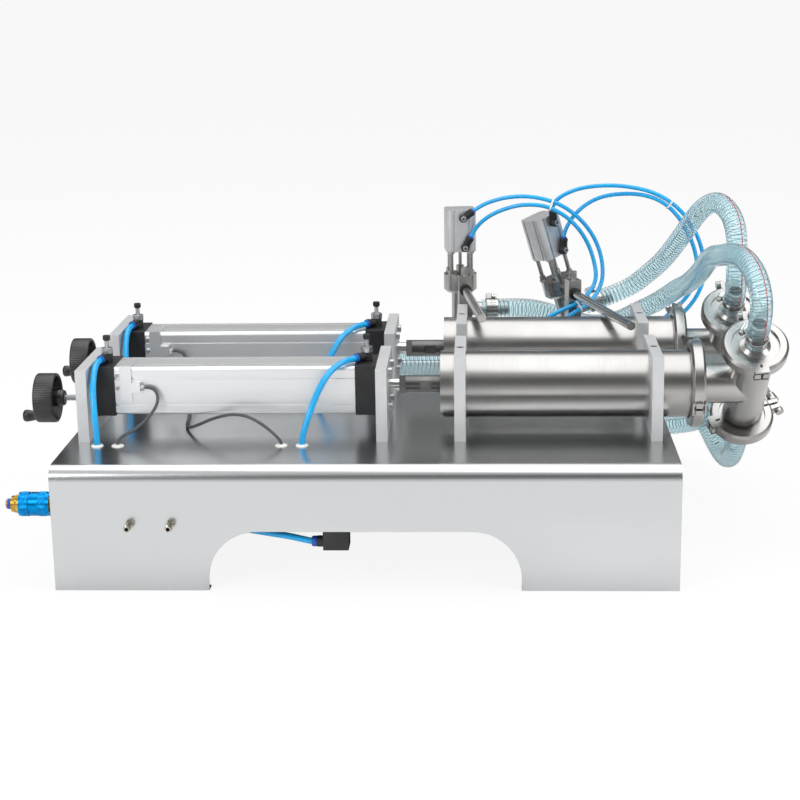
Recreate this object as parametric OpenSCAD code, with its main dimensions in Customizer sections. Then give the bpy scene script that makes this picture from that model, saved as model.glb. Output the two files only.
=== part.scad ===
// Twin-head piston filling machine: two air cylinders on a folded steel base push two filling pistons,
// which draw liquid through the tees at the right end and send it to two shut-off heads at the back.

/* [Base] */
// Length of the base along X
base_length = 760; // [740:5:840]
// Depth of the base along Y
base_depth = 570; // [560:5:620]
// Height of the deck above the table
base_height = 156; // [150:1:200]
// Thickness of the folded sheet
sheet = 1.5; // [1:0.1:2]
// Outer radius of the two long bends of the deck
bend_radius = 18; // [10:1:22]
// Width of the arch in the front and back walls
arch_width = 380; // [300:5:440]
// Height of the arch above the table
arch_height = 75; // [60:1:85]
// Radius of the arch's upper corners
arch_radius = 60; // [30:1:60]
// Width of the folded lip that the base stands on
lip_width = 16; // [10:1:24]

/* [Lanes] */
// Distance between the two lanes
lane_pitch = 210; // [200:1:230]
// Height of the piston axes above the deck
axis_height = 57.5; // [56:0.5:62]
// Thickness of each support plate along X
plate_thickness = 14; // [10:1:15]
// Width of each support plate along Y
plate_width = 136; // [126:1:146]
// Height of the plates that hold the air cylinder
drive_plate_height = 93; // [92:1:100]
// Height of the plates that hold the filling tube
tube_plate_height = 106; // [105:1:112]
// Gap between the left end of the base and the first plate
plate_margin = 13; // [4:1:16]

/* [Air cylinder] */
// Bore of the air cylinder
drive_bore = 50; // [46:1:52]
// Side of the square end caps
cap_side = 64; // [62:1:66]
// Length of each end cap along X
cap_length = 28; // [24:1:30]
// Side of the square aluminium barrel
profile_side = 62; // [58:1:62]
// Length of the aluminium barrel between the caps
profile_length = 307; // [300:1:320]
// Length of the driving piston
drive_piston_length = 26; // [20:1:30]
// Diameter of the driving rod
rod_diameter = 16; // [12:1:18]
// Travel of both pistons
stroke = 200; // [150:1:200]

/* [Filling tube] */
// Inner diameter of the filling tube
tube_bore = 80; // [70:1:84]
// Wall of the filling tube
tube_wall = 3; // [2:0.5:4]
// Length of the filling tube
tube_length = 323; // [318:1:330]
// Gap between the drive plate and the filling tube
tube_gap = 66; // [64:1:70]
// Length of the filling piston
fill_piston_length = 32; // [24:1:36]
// Diameter of the coupling between the two rods
coupling_diameter = 23; // [20:1:26]

/* [Tee and clamps] */
// Outer diameter of the tee's pipes
pipe_diameter = 51; // [46:1:52]
// Wall of the tee's pipes
pipe_wall = 1.6; // [1.2:0.1:2.5]
// Distance from the large clamp to the middle of the tee
tee_reach = 67; // [62:1:80]
// Half the length of the tee's run between the two small clamps
tee_half_run = 74; // [70:1:82]
// Lean of the tee's run towards the front, in degrees
tee_lean = 40; // [34:1:42]
// Outer diameter of the large ferrules
large_ferrule = 96; // [94:1:100]
// Outer diameter of the small ferrules
small_ferrule = 66; // [62:1:68]
// Thickness of one ferrule at its rim
ferrule_rim = 3; // [2.5:0.1:4]
// Width of a clamp ring along its axis
clamp_width = 17; // [15:0.5:19]
// Thickness of a clamp ring over the ferrule
clamp_wall = 8; // [6:0.5:9]

/* [Heads] */
// Distance from the middle of the base to the first head's post
head_1_x = 118; // [114:1:124]
// Distance from the middle of the base to the second head's post
head_2_x = 275; // [270:1:280]
// Turn of the first head's post, in degrees
head_1_turn = 6.7; // [4:0.1:8]
// Turn of the second head's post, in degrees
head_2_turn = 15.7; // [13:0.1:17]
// Tilt of the first head about its rod, in degrees
head_1_tilt = 0; // [-4:0.5:4]
// Tilt of the second head about its rod, in degrees
head_2_tilt = 16.5; // [12:0.5:18]
// Side of the square posts
post_side = 19; // [18:0.5:20]
// Diameter of the rods that carry the heads
head_rod_diameter = 12; // [10:0.5:12]
// Side of the head's air cylinder
head_side = 44; // [40:1:46]
// Length of the head's air cylinder
head_length = 62; // [56:1:66]
// Diameter of the head's flange
flange_diameter = 49; // [47:1:52]
// Travel of the shut-off needle
needle_travel = 8; // [4:1:10]

/* [Handwheels] */
// Diameter of the handwheel
wheel_diameter = 64; // [56:1:66]
// Width of the handwheel's rim
wheel_width = 26; // [20:1:30]
// Diameter of the adjusting screw
screw_diameter = 8; // [6:0.5:10]
// Distance of the adjusting screw below the piston axis
screw_drop = 16; // [14:0.5:17]
// Travel of the adjusting screw each way
screw_travel = 20; // [10:1:22]

/* [Hoses and tubes] */
// Outer diameter of the product hoses
hose_diameter = 28; // [26:0.5:28]
// Wall of the product hoses
hose_wall = 3.5; // [2.5:0.5:4]
// Outer diameter of the main air tubes
air_tube_diameter = 8; // [6:0.5:8]
// Outer diameter of the heads' air tubes
head_tube_diameter = 6; // [5:0.5:6]
// Diameter of the sensor cables
cable_diameter = 4; // [3:0.5:4]

/* [Hidden] */
$fn = 64;
// Overrun of every cut
cut = 1;
// Radial clearance of a running fit
fit = 0.05;
// Clearance of a piece that is pushed into or over another
slip = 0.2;
half_length = base_length / 2;
half_depth = base_depth / 2;
lanes = [-lane_pitch / 2, lane_pitch / 2];
axis_z = base_height + axis_height;

// Places along X, from the rear plate at the left to the tee at the right
rear_plate_x = -half_length + plate_margin;
rear_cap_x = rear_plate_x + plate_thickness;
barrel_x = rear_cap_x + cap_length;
front_cap_x = barrel_x + profile_length;
front_plate_x = front_cap_x + cap_length;
tube_x = front_plate_x + plate_thickness + tube_gap;
tube_overhang = 18;
tube_plate_pitch = 245;
tube_plates_x = [tube_x + tube_overhang, tube_x + tube_overhang + tube_plate_pitch];
joint_x = tube_x + tube_length;
tee_x = joint_x + tee_reach;
cap_top_z = axis_z + cap_side / 2;

// The handwheel, its screw and the pad at the screw's inner end
wheel_gap = 30;
hub_length = 10;
hub_diameter = 22;
web_thickness = 5;
rim_thickness = 4;
hub_x = rear_plate_x - wheel_gap;
wheel_x = hub_x - hub_length - wheel_width;
pad_diameter = 14;
pad_length = 8;
pad_margin = 2;
pad_x = barrel_x + screw_travel + pad_margin;
drive_piston_x = pad_x + pad_length + screw_travel + pad_margin;
screw_z = axis_z - screw_drop;
crank_radius = 24;
crank_pin_diameter = 6;
knob_diameter = 16;
knob_length = 20;
knob_gap = 0.3;
crank_turns = [-90, -50];

// The coupling between the driving rod and the filling piston
jam_nut_across = 24;
jam_nut_length = 8;
rod_stub = 13;
coupling_x = front_plate_x + plate_thickness + rod_stub + jam_nut_length;
fill_piston_x = tube_x + 8;
rod_engagement = 18;
flat_depth = 1.5;
flat_length = 15;
flat_start = 18;
seal_groove = 3;
seal_groove_depth = 2;

// Turns the axis of a shape from Z to X
module along_x() rotate([90, 0, 90]) children();

// A ring or tube along Z, open at both ends
module pipe(outer, inner, length) difference() {
    cylinder(d = outer, h = length);
    translate([0, 0, -cut]) cylinder(d = inner, h = length + 2 * cut);
}

// Outline of the folded cover seen from the end, with the two long bends, from a floor height up
module cover_outline(inset, floor) {
    round_r = bend_radius - inset;
    half = half_depth - inset;
    top = base_height - inset;
    translate([-half, floor]) square([2 * half, top - round_r - floor]);
    translate([-half + round_r, floor]) square([2 * (half - round_r), top - floor]);
    for (side = [-1, 1]) translate([side * (half - round_r), top - round_r]) circle(r = round_r);
}

// Opening between the feet, as seen from the front
module arch_outline() {
    half = arch_width / 2;
    translate([-half, -cut]) square([2 * half, arch_height - arch_radius + cut]);
    translate([-half + arch_radius, -cut]) square([2 * (half - arch_radius), arch_height + cut]);
    for (side = [-1, 1]) {
        translate([side * (half - arch_radius), arch_height - arch_radius]) circle(r = arch_radius);
    }
}

// Grommets: places on the deck and the diameter of what passes through each
grommet_y = -188.5;
tube_grommets_x = [-340, -82];
cable_grommets_x = [-314, -108];
head_grommets_x = [205, 225, 320, 340];
head_grommet_y = 205;
grommet_flange = 16;
grommet_hole = 12;
grommet_rise = 2.4;
grommet_places = concat(
    [for (x = tube_grommets_x) for (lane = [0, 1]) [x, grommet_y + lane * lane_pitch, air_tube_diameter]],
    [for (x = cable_grommets_x) [x, grommet_y, cable_diameter]],
    [for (x = head_grommets_x) [x, head_grommet_y, head_tube_diameter]]
);

// Nipples on the front wall and the inlet valve on the left end
nipples_x = [-284.5, -234.5];
nipple_z = 84;
nipple_bore = 5;
nipple_outer = 9;
nipple_reach = 14;
nipple_hex = 12;
nipple_hex_length = 5;
nipple_step = 2;
nipple_barb = 4;
inlet_y = -235;
inlet_z = 95;
inlet_body = 20;
inlet_bore = 8.2;
inlet_hex = 24;
inlet_nut_length = 6;
sleeve_diameter = 30;
sleeve_length = 38;
sleeve_travel = 6;
brass_length = 10;
collet_diameter = 13;
collet_length = 6;
inlet_inside = 14;

module base_cover() color("silver") difference() {
    union() {
        along_x() translate([0, 0, -half_length]) difference() {
            linear_extrude(base_length) cover_outline(0, 0);
            translate([0, 0, -cut]) linear_extrude(base_length + 2 * cut) cover_outline(sheet, -cut);
        }
        for (side = [-1, 1]) {
            translate([-half_length, side * (half_depth - lip_width / 2) - lip_width / 2, 0])
                cube([base_length, lip_width, sheet]);
        }
    }
    translate([0, half_depth + cut, 0]) rotate([90, 0, 0])
        linear_extrude(base_depth + 2 * cut) arch_outline();
    translate([-arch_width / 2, -half_depth - cut, -cut])
        cube([arch_width, base_depth + 2 * cut, sheet + 2 * cut]);
    for (place = grommet_places) translate([place[0], place[1], base_height - sheet - cut])
        cylinder(d = grommet_hole, h = sheet + 2 * cut);
    for (x = nipples_x) translate([x, -half_depth - cut, nipple_z]) rotate([-90, 0, 0])
        cylinder(d = nipple_outer + 2 * slip, h = sheet + 2 * cut);
}

module end_panels() color("silver") for (side = [-1, 1]) {
    middle = side * (half_length - sheet / 2);
    translate([middle, 0, 0]) difference() {
        along_x() translate([0, 0, -sheet / 2]) linear_extrude(sheet) cover_outline(sheet + slip, sheet + slip);
        if (side < 0) translate([-sheet, inlet_y, inlet_z]) along_x()
            cylinder(d = inlet_body + 2 * slip, h = 2 * sheet);
    }
}

module deck_grommets() color("white") for (place = grommet_places) {
    bore = place[2] / 2 + slip;
    lower = base_height - sheet;
    translate([place[0], place[1], 0]) rotate_extrude() polygon([
        [bore, lower - grommet_rise],
        [grommet_hole / 2 + sheet, lower - grommet_rise],
        [grommet_hole / 2 + sheet, lower],
        [grommet_hole / 2 - slip, lower],
        [grommet_hole / 2 - slip, base_height],
        [grommet_flange / 2, base_height],
        [grommet_flange / 2 - grommet_rise / 3, base_height + grommet_rise / 2],
        [bore + grommet_rise / 2, base_height + grommet_rise],
        [bore, base_height + grommet_rise / 2]
    ]);
}

module front_nipples() color("lightgray") for (x = nipples_x) {
    translate([x, -half_depth, nipple_z]) rotate([90, 0, 0]) difference() {
        union() {
            cylinder(d = nipple_hex, h = nipple_hex_length, $fn = 6);
            cylinder(d = nipple_outer - nipple_step, h = nipple_reach);
            translate([0, 0, nipple_reach])
                cylinder(d1 = nipple_outer, d2 = nipple_outer - nipple_step, h = nipple_barb);
            translate([0, 0, -sheet - nipple_hex_length]) {
                cylinder(d = nipple_outer, h = sheet + nipple_hex_length);
                cylinder(d = nipple_hex, h = nipple_hex_length, $fn = 6);
            }
        }
        translate([0, 0, -sheet - nipple_hex_length - cut])
            cylinder(d = nipple_bore, h = nipple_reach + nipple_hex_length * 3);
    }
}

// The slide valve at the left end: a tube through the panel, a sleeve that slides on it, a brass end
module inlet_valve_body() color("goldenrod") translate([-half_length, inlet_y, inlet_z]) rotate([0, -90, 0])
    difference() {
        brass_start = inlet_nut_length + sleeve_travel + sleeve_length + fit;
        union() {
            translate([0, 0, -inlet_inside]) cylinder(d = inlet_body, h = brass_start + inlet_inside);
            cylinder(d = inlet_hex, h = inlet_nut_length, $fn = 6);
            translate([0, 0, -sheet - inlet_nut_length]) cylinder(d = inlet_hex, h = inlet_nut_length, $fn = 6);
            translate([0, 0, brass_start]) cylinder(d1 = inlet_hex, d2 = inlet_body, h = brass_length);
            translate([0, 0, brass_start + brass_length]) cylinder(d = collet_diameter, h = collet_length);
        }
        translate([0, 0, brass_start - brass_length])
            cylinder(d = inlet_bore, h = 2 * brass_length + collet_length + cut);
        translate([0, 0, -inlet_inside - cut]) cylinder(d = inlet_bore, h = inlet_inside + cut);
    }

module inlet_sleeve() color("dodgerblue") translate([-half_length, inlet_y, inlet_z]) rotate([0, -90, 0])
    translate([0, 0, inlet_nut_length + sleeve_travel]) difference() {
        cylinder(d = sleeve_diameter, h = sleeve_length);
        translate([0, 0, -cut]) cylinder(d = inlet_body + 2 * fit, h = sleeve_length + 2 * cut);
        translate([0, 0, sleeve_length * sleeve_groove_share]) pipe(sleeve_diameter + cut,
            sleeve_diameter - sleeve_groove, sleeve_groove);
    }
sleeve_groove_share = 0.62;
sleeve_groove = 2;

// Air valves inside the base, hung from the deck, and the block behind the front wall
valve_length = 60;
valve_width = 28;
valve_drop = 34;
valve_port_drop = 24;
valve_cable_drop = 10;
port_collar = 14;
port_length = 8;
main_valve_x = (tube_grommets_x[0] + tube_grommets_x[1]) / 2;
head_valve_gap = 14;
head_valve_drop = 24;
head_valve_width = 20;
hanger_diameter = 4;
deck_under = base_height - sheet;
air_block_x = -34.5;
air_block_length = 31;
air_block_depth = 30;
air_block_bottom = 51;
air_block_top = 96;
air_port_z = 58;

module control_valves() color("darkgray") {
    for (lane = [0, 1]) translate([main_valve_x, grommet_y + lane * lane_pitch, deck_under]) {
        translate([-valve_length / 2, -valve_width / 2, -valve_drop]) cube([valve_length, valve_width, valve_drop]);
        for (side = [0, 1]) mirror([side, 0, 0]) {
            translate([valve_length / 2, 0, -valve_port_drop]) along_x()
                pipe(port_collar, air_tube_diameter + 2 * slip, port_length);
        }
    }
    for (pair = [0, 1]) {
        middle = (head_grommets_x[2 * pair] + head_grommets_x[2 * pair + 1]) / 2;
        span = head_grommets_x[1] - head_grommets_x[0];
        translate([middle, head_grommet_y, deck_under]) {
            translate([-span, -head_valve_width / 2, -head_valve_gap - head_valve_drop])
                cube([2 * span, head_valve_width, head_valve_drop]);
            translate([0, 0, -head_valve_gap]) cylinder(d = hanger_diameter, h = head_valve_gap);
        }
    }
}

module under_air_valve() color("dimgray") translate([air_block_x, -half_depth + sheet, 0]) {
    translate([-air_block_length / 2, 0, air_block_bottom])
        cube([air_block_length, air_block_depth, air_block_top - air_block_bottom]);
    translate([-air_block_length / 2 - port_length, air_block_depth / 2, air_port_z]) along_x()
        pipe(port_collar, air_tube_diameter + 2 * slip, port_length);
}

// Support plates: two hold the air cylinder, two hold the filling tube
screw_head = 10;
screw_head_depth = 5;
socket_across = 6;
screw_shank = 5.8;
screw_length = 22;
cap_screw_offset_share = 0.36;
guide_bore = 28;

module plate(x, height, bore, bore_z, top_screw) translate([x, 0, base_height]) difference() {
    translate([0, -plate_width / 2, 0]) cube([plate_thickness, plate_width, height]);
    translate([-cut, 0, bore_z - base_height]) along_x() cylinder(d = bore, h = plate_thickness + 2 * cut);
    if (top_screw) translate([plate_thickness / 2, 0, height - screw_head_depth])
        cylinder(d = screw_head + 2 * slip, h = screw_head_depth + cut);
    if (!top_screw) cap_screw_places(0) {
        translate([0, 0, -cut]) cylinder(d = screw_shank + 2 * slip, h = plate_thickness + 2 * cut);
    }
}

// The four screws of a drive plate, on the corners of the cylinder's cap, pointing along X
module cap_screw_places(x) {
    offset = cap_side * cap_screw_offset_share;
    for (dy = [-offset, offset]) for (dz = [-offset, offset]) {
        translate([x, dy, axis_height + dz]) along_x() children();
    }
}

module support_plates() color("gainsboro") for (y = lanes) translate([0, y, 0]) {
    plate(rear_plate_x, drive_plate_height, screw_diameter + 2 * fit, screw_z, false);
    plate(front_plate_x, drive_plate_height, rod_diameter + 2 * fit, axis_z, false);
    for (x = tube_plates_x) plate(x, tube_plate_height, tube_bore + 2 * tube_wall + 2 * slip, axis_z, true);
}

module socket_screw(shank) {
    difference() {
        cylinder(d = screw_head, h = screw_head_depth);
        translate([0, 0, screw_head_depth / 2]) cylinder(d = socket_across, h = screw_head_depth, $fn = 6);
    }
    translate([0, 0, -shank]) cylinder(d = screw_shank, h = shank);
}

module plate_screws() color("silver") for (y = lanes) translate([0, y, 0]) {
    for (x = tube_plates_x) {
        translate([x + plate_thickness / 2, 0, base_height + tube_plate_height - screw_head_depth])
            difference() {
                cylinder(d = screw_head, h = screw_head_depth - slip);
                translate([0, 0, screw_head_depth / 2]) cylinder(d = socket_across, h = screw_head_depth, $fn = 6);
            }
    }
    translate([0, 0, base_height]) {
        cap_screw_places(front_plate_x + plate_thickness) socket_screw(screw_length);
        cap_screw_places(rear_plate_x) mirror([0, 0, 1]) socket_screw(screw_length);
    }
}

// Square end caps of the air cylinder, the rear one drilled for the adjusting screw
boss_depth = 6;
boss_diameter = 9.4;
screw_bite = screw_length - plate_thickness;

module drive_cap(x, bore, bore_z, thread_x) difference() {
    translate([x, -cap_side / 2, axis_z - cap_side / 2]) cube([cap_length, cap_side, cap_side]);
    translate([x - cut, 0, bore_z]) along_x() cylinder(d = bore + 2 * fit, h = cap_length + 2 * cut);
    translate([thread_x, 0, base_height]) cap_screw_places(0)
        cylinder(d = screw_shank + 2 * slip, h = screw_bite + cut);
    translate([x + cap_length / 2, 0, cap_top_z - boss_depth])
        cylinder(d = boss_diameter + 2 * slip, h = boss_depth + cut);
}

module drive_caps() color("#252525") for (y = lanes) translate([0, y, 0]) {
    drive_cap(rear_cap_x, screw_diameter, screw_z, rear_cap_x - cut);
    drive_cap(front_cap_x, rod_diameter, axis_z, front_plate_x - screw_bite);
}

// Extruded barrel with two sensor grooves along each side and its round bore
barrel_corner = 5;
barrel_groove_width = 4;
barrel_groove_depth = 2;
barrel_groove_offset = 17;

module barrel_outline() difference() {
    straight = profile_side - 2 * barrel_corner;
    union() {
        square([profile_side, straight], center = true);
        square([straight, profile_side], center = true);
        for (dx = [-1, 1]) for (dy = [-1, 1]) {
            translate([dx * straight / 2, dy * straight / 2]) circle(r = barrel_corner);
        }
    }
    circle(d = drive_bore);
    for (turn = [0:90:270]) for (offset = [-barrel_groove_offset, barrel_groove_offset]) rotate(turn)
        translate([profile_side / 2 - barrel_groove_depth, offset - barrel_groove_width / 2])
            square([barrel_groove_depth + cut, barrel_groove_width]);
}

module drive_barrel(y) color("whitesmoke") translate([barrel_x, y, axis_z]) along_x()
    linear_extrude(profile_length) barrel_outline();

// Driving piston with two seal grooves, on its rod
module drive_piston(y) color("lightsteelblue") translate([drive_piston_x, y, axis_z]) along_x() {
    rod_end = coupling_x + rod_engagement - drive_piston_x;
    sealed_piston(drive_bore, drive_piston_length);
    translate([0, 0, drive_piston_length]) cylinder(d = rod_diameter, h = rod_end - drive_piston_length);
}
module sealed_piston(bore, length) difference() {
    cylinder(r = bore / 2 - fit, h = length);
    for (share = seal_shares) translate([0, 0, length * share]) difference() {
        cylinder(r = bore / 2 + cut, h = seal_groove);
        translate([0, 0, -cut]) cylinder(r = bore / 2 - seal_groove_depth, h = seal_groove + 2 * cut);
    }
}
seal_shares = [0.2, 0.6];

// Filling piston, its coupling with a wrench flat, and the jam nut that locks the coupling
module fill_piston(y) color("lightgray") translate([0, y, axis_z]) {
    translate([coupling_x - jam_nut_length, 0, 0]) along_x() difference() {
        cylinder(d = jam_nut_across, h = jam_nut_length, $fn = 6);
        translate([0, 0, -cut]) cylinder(d = rod_diameter + 2 * slip, h = jam_nut_length + 2 * cut);
    }
    difference() {
        union() {
            translate([coupling_x, 0, 0]) along_x() cylinder(d = coupling_diameter, h = fill_piston_x - coupling_x);
            translate([fill_piston_x, 0, 0]) along_x() sealed_piston(tube_bore, fill_piston_length);
        }
        translate([coupling_x - cut, 0, 0]) along_x() cylinder(d = rod_diameter + 2 * slip, h = rod_engagement + cut);
        for (side = [0, 1]) rotate([side * 180, 0, 0])
            translate([coupling_x + flat_start, flat_depth - coupling_diameter / 2 - coupling_diameter, -coupling_diameter])
                cube([flat_length, coupling_diameter, 2 * coupling_diameter]);
    }
}

// Pad at the inner end of the adjusting screw: it stops the driving piston and doesn't turn
pad_socket = 4;
module stop_pad(y) color("dimgray") translate([pad_x, y, screw_z]) along_x() difference() {
    cylinder(d = pad_diameter, h = pad_length);
    translate([0, 0, -cut]) cylinder(r = screw_diameter / 2 + fit, h = pad_socket + cut);
}

// Dished handwheel with its hub and crank pin, on the adjusting screw
module handwheel(y, turn) color("#1e1e1e") translate([wheel_x, y, screw_z]) along_x() {
    difference() {
        cylinder(d = wheel_diameter, h = wheel_width);
        translate([0, 0, web_thickness])
            cylinder(d = wheel_diameter - 2 * rim_thickness, h = wheel_width);
    }
    cylinder(d = hub_diameter, h = wheel_width + hub_length);
    cylinder(d = screw_diameter, h = pad_x + pad_socket - fit - wheel_x);
    rotate(turn) translate([crank_radius, 0, -knob_length - knob_gap])
        cylinder(d = crank_pin_diameter, h = knob_length + knob_gap + web_thickness);
}

module crank_knob(y, turn) color("#1e1e1e") translate([wheel_x - knob_gap - knob_length, y, screw_z]) along_x()
    rotate(turn) translate([crank_radius, 0, 0])
        pipe(knob_diameter, crank_pin_diameter + 2 * fit, knob_length);

// Ferrule: a flat ring whose back slopes away, as the clamps grip it, from the joint face down
ferrule_root = 5;
ferrule_lip = 3;
module ferrule(rim_diameter, pipe_outer) rotate_extrude() polygon([
    [pipe_outer / 2 - pipe_wall / 2, 0],
    [rim_diameter / 2, 0],
    [rim_diameter / 2, -ferrule_rim],
    [rim_diameter / 2 - ferrule_lip, -ferrule_root],
    [pipe_outer / 2 - pipe_wall / 2, -ferrule_root]
]);

module fill_tube(y) color("silver") translate([tube_x, y, axis_z]) along_x() difference() {
    outer = tube_bore + 2 * tube_wall;
    union() {
        cylinder(d = outer, h = tube_length);
        translate([0, 0, tube_length]) ferrule(large_ferrule, outer);
    }
    translate([0, 0, -cut]) cylinder(d = tube_bore, h = tube_length + 2 * cut);
}

// Tee: a pipe from the large clamp to a leaning run with a ferrule at each end
module tee(y) color("silver") translate([joint_x, y, axis_z]) difference() {
    union() {
        along_x() {
            cylinder(d = pipe_diameter, h = tee_reach);
            mirror([0, 0, 1]) ferrule(large_ferrule, pipe_diameter);
        }
        translate([tee_reach, 0, 0]) rotate([tee_lean, 0, 0]) {
            translate([0, 0, -tee_half_run]) cylinder(d = pipe_diameter, h = 2 * tee_half_run);
            translate([0, 0, tee_half_run]) ferrule(small_ferrule, pipe_diameter);
            translate([0, 0, -tee_half_run]) mirror([0, 0, 1]) ferrule(small_ferrule, pipe_diameter);
        }
    }
    bore = pipe_diameter - 2 * pipe_wall;
    translate([-cut, 0, 0]) along_x() cylinder(d = bore, h = tee_reach + cut);
    translate([tee_reach, 0, 0]) rotate([tee_lean, 0, 0]) translate([0, 0, -tee_half_run - cut])
        cylinder(d = bore, h = 2 * tee_half_run + 2 * cut);
}

// Frames of the two ends of a tee's run, with Z pointing out of the run
module tee_end(y, way) translate([tee_x, y, axis_z]) rotate([tee_lean, 0, 0]) mirror([0, 0, way < 0 ? 1 : 0])
    translate([0, 0, tee_half_run]) children();

// Caps of the run, each with the tail that a hose is pushed on
tail_wall = 2;
tail_length = 40;
hose_bore = hose_diameter - 2 * hose_wall;
cap_rise = 3;
module hose_caps() color("silver") for (y = lanes) for (way = [-1, 1]) tee_end(y, way) difference() {
    union() {
        mirror([0, 0, 1]) ferrule(small_ferrule, hose_bore);
        cylinder(d1 = small_ferrule - 4 * ferrule_lip, d2 = hose_diameter, h = ferrule_root + cap_rise);
        cylinder(d = hose_bore - 2 * slip, h = ferrule_root + cap_rise + tail_length);
    }
    translate([0, 0, -cut]) cylinder(d = hose_bore - 2 * tail_wall, h = ferrule_root + tail_length + 2 * cap_rise);
}
hose_start = ferrule_root + cap_rise + slip;

// Worm-drive clamp: a band round the hose with its screw housing
band_width = 10;
band_thickness = 0.8;
band_offset = 13;
housing = [13, 8, 8];
module hose_clamp() translate([0, 0, band_offset]) {
    pipe(hose_diameter + 2 * slip + 2 * band_thickness, hose_diameter + 2 * slip, band_width);
    translate([hose_diameter / 2 + slip, -housing[0] / 2, (band_width - housing[2]) / 2])
        cube([housing[1], housing[0], housing[2]]);
}
module hose_clamps() color("lightgray") for (y = lanes) for (way = [-1, 1]) tee_end(y, way)
    translate([0, 0, hose_start]) rotate(way * clamp_screw_turn) hose_clamp();
clamp_screw_turn = 150;

// Two-piece clamp round a pair of ferrules. Its rings split along X, the bolt is on the +X side.
clamp_gap = 3;
clamp_lip = 3;
lug_reach = 15;
lug_thickness = 7;
lug_width = 13;
bolt_diameter = 6;
bolt_offset = 9;
bolt_head = 11;
bolt_head_length = 5;
bolt_length = 30;
link_pitch = 9;
link_plate = 2;
link_height = 8;

module clamp_section(ferrule_d) {
    half = clamp_width / 2;
    outer = ferrule_d / 2 + clamp_wall;
    groove = ferrule_rim + slip;
    lip_groove = ferrule_root + 2 * slip;
    polygon([
        [ferrule_d / 2 - clamp_lip, lip_groove],
        [ferrule_d / 2 + slip, groove],
        [ferrule_d / 2 + slip, -groove],
        [ferrule_d / 2 - clamp_lip, -lip_groove],
        [ferrule_d / 2 - clamp_lip, -half],
        [outer - clamp_lip, -half],
        [outer, -half + clamp_lip],
        [outer, half - clamp_lip],
        [outer - clamp_lip, half],
        [ferrule_d / 2 - clamp_lip, half]
    ]);
}

module clamp(ferrule_d) {
    outer = ferrule_d / 2 + clamp_wall;
    for (side = [0, 1]) mirror([0, side, 0]) difference() {
        union() {
            rotate_extrude(angle = 180) clamp_section(ferrule_d);
            translate([outer - clamp_lip, 0, -lug_width / 2]) cube([lug_reach, lug_thickness, lug_width]);
            translate([-outer - link_height / 2, 0, -lug_width / 2 + link_plate + slip])
                cube([link_height, link_pitch, lug_width - 2 * link_plate - 2 * slip]);
        }
        translate([-outer - link_height, -cut, -outer]) cube([4 * outer, clamp_gap / 2 + cut, 2 * outer]);
        translate([outer + bolt_offset, -cut, 0]) rotate([-90, 0, 0])
            cylinder(d = bolt_diameter + 2 * slip, h = lug_thickness + 2 * cut);
        translate([-outer, link_pitch / 2, -lug_width])
            cylinder(d = bolt_diameter / 2 + 2 * slip, h = 2 * lug_width);
    }
    for (side = [-1, 1]) translate([-outer, side * link_pitch / 2, -lug_width / 2])
        cylinder(d = bolt_diameter / 2, h = lug_width);
    for (z = [-lug_width / 2 - link_plate, lug_width / 2]) {
        translate([-outer - link_height / 2, -link_pitch, z]) cube([link_height, 2 * link_pitch, link_plate]);
    }
    translate([outer + bolt_offset, 0, 0]) rotate([-90, 0, 0]) {
        translate([0, 0, -lug_thickness]) cylinder(d = bolt_diameter, h = lug_thickness + bolt_length);
        translate([0, 0, -lug_thickness - bolt_head_length]) cylinder(d = bolt_head, h = bolt_head_length);
    }
}

// Wing nut along Z from its seat, with two flared wings
nut_height = 12;
nut_diameter = 15;
wing_reach = 13;
wing_rise = 20;
wing_thickness = 4;
wing_round = 4;
module wing_nut() difference() {
    union() {
        cylinder(d1 = nut_diameter, d2 = nut_diameter - wing_thickness, h = nut_height);
        for (side = [0, 1]) mirror([side, 0, 0]) rotate([90, 0, 0])
            translate([0, 0, -wing_thickness / 2]) linear_extrude(wing_thickness) {
                polygon([
                    [0, nut_height / 2],
                    [nut_diameter / 2, nut_height / 2],
                    [wing_reach, wing_rise - wing_round],
                    [wing_reach - 2 * wing_round, wing_rise],
                    [0, nut_height]
                ]);
                translate([wing_reach - wing_round, wing_rise - wing_round / 2]) circle(r = wing_round);
            }
    }
    translate([0, 0, -cut]) cylinder(d = bolt_diameter + 2 * fit, h = 2 * wing_rise);
}

// Places of the three clamps of a lane, with the angle of the bolt round each
large_bolt_turn = 20;
upper_bolt_turn = 96;
lower_bolt_turn = 20;
module clamp_place(y, which) {
    if (which == "large") translate([joint_x, y, axis_z]) along_x() rotate(large_bolt_turn) children();
    if (which == "upper") translate([tee_x, y, axis_z]) rotate([tee_lean, 0, 0])
        translate([0, 0, tee_half_run]) rotate(upper_bolt_turn) mirror([0, 1, 0]) children();
    if (which == "lower") translate([tee_x, y, axis_z]) rotate([tee_lean, 0, 0])
        translate([0, 0, -tee_half_run]) rotate(lower_bolt_turn) children();
}

module lane_clamps(y) color("silver") {
    clamp_place(y, "large") clamp(large_ferrule);
    for (which = ["upper", "lower"]) clamp_place(y, which) clamp(small_ferrule);
}

// Turn of each wing nut as left after tightening: large, upper and lower of the near and the far lane
near_nut_turns = [60, 90, 60];
far_nut_turns = [120, 60, 90];
module clamp_wing_nut(y, which, turn) color("darkgray") clamp_place(y, which) {
    ferrule_d = which == "large" ? large_ferrule : small_ferrule;
    translate([ferrule_d / 2 + clamp_wall + bolt_offset, lug_thickness + slip, 0]) rotate([-90, 0, 0])
        rotate(turn) wing_nut();
}

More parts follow.
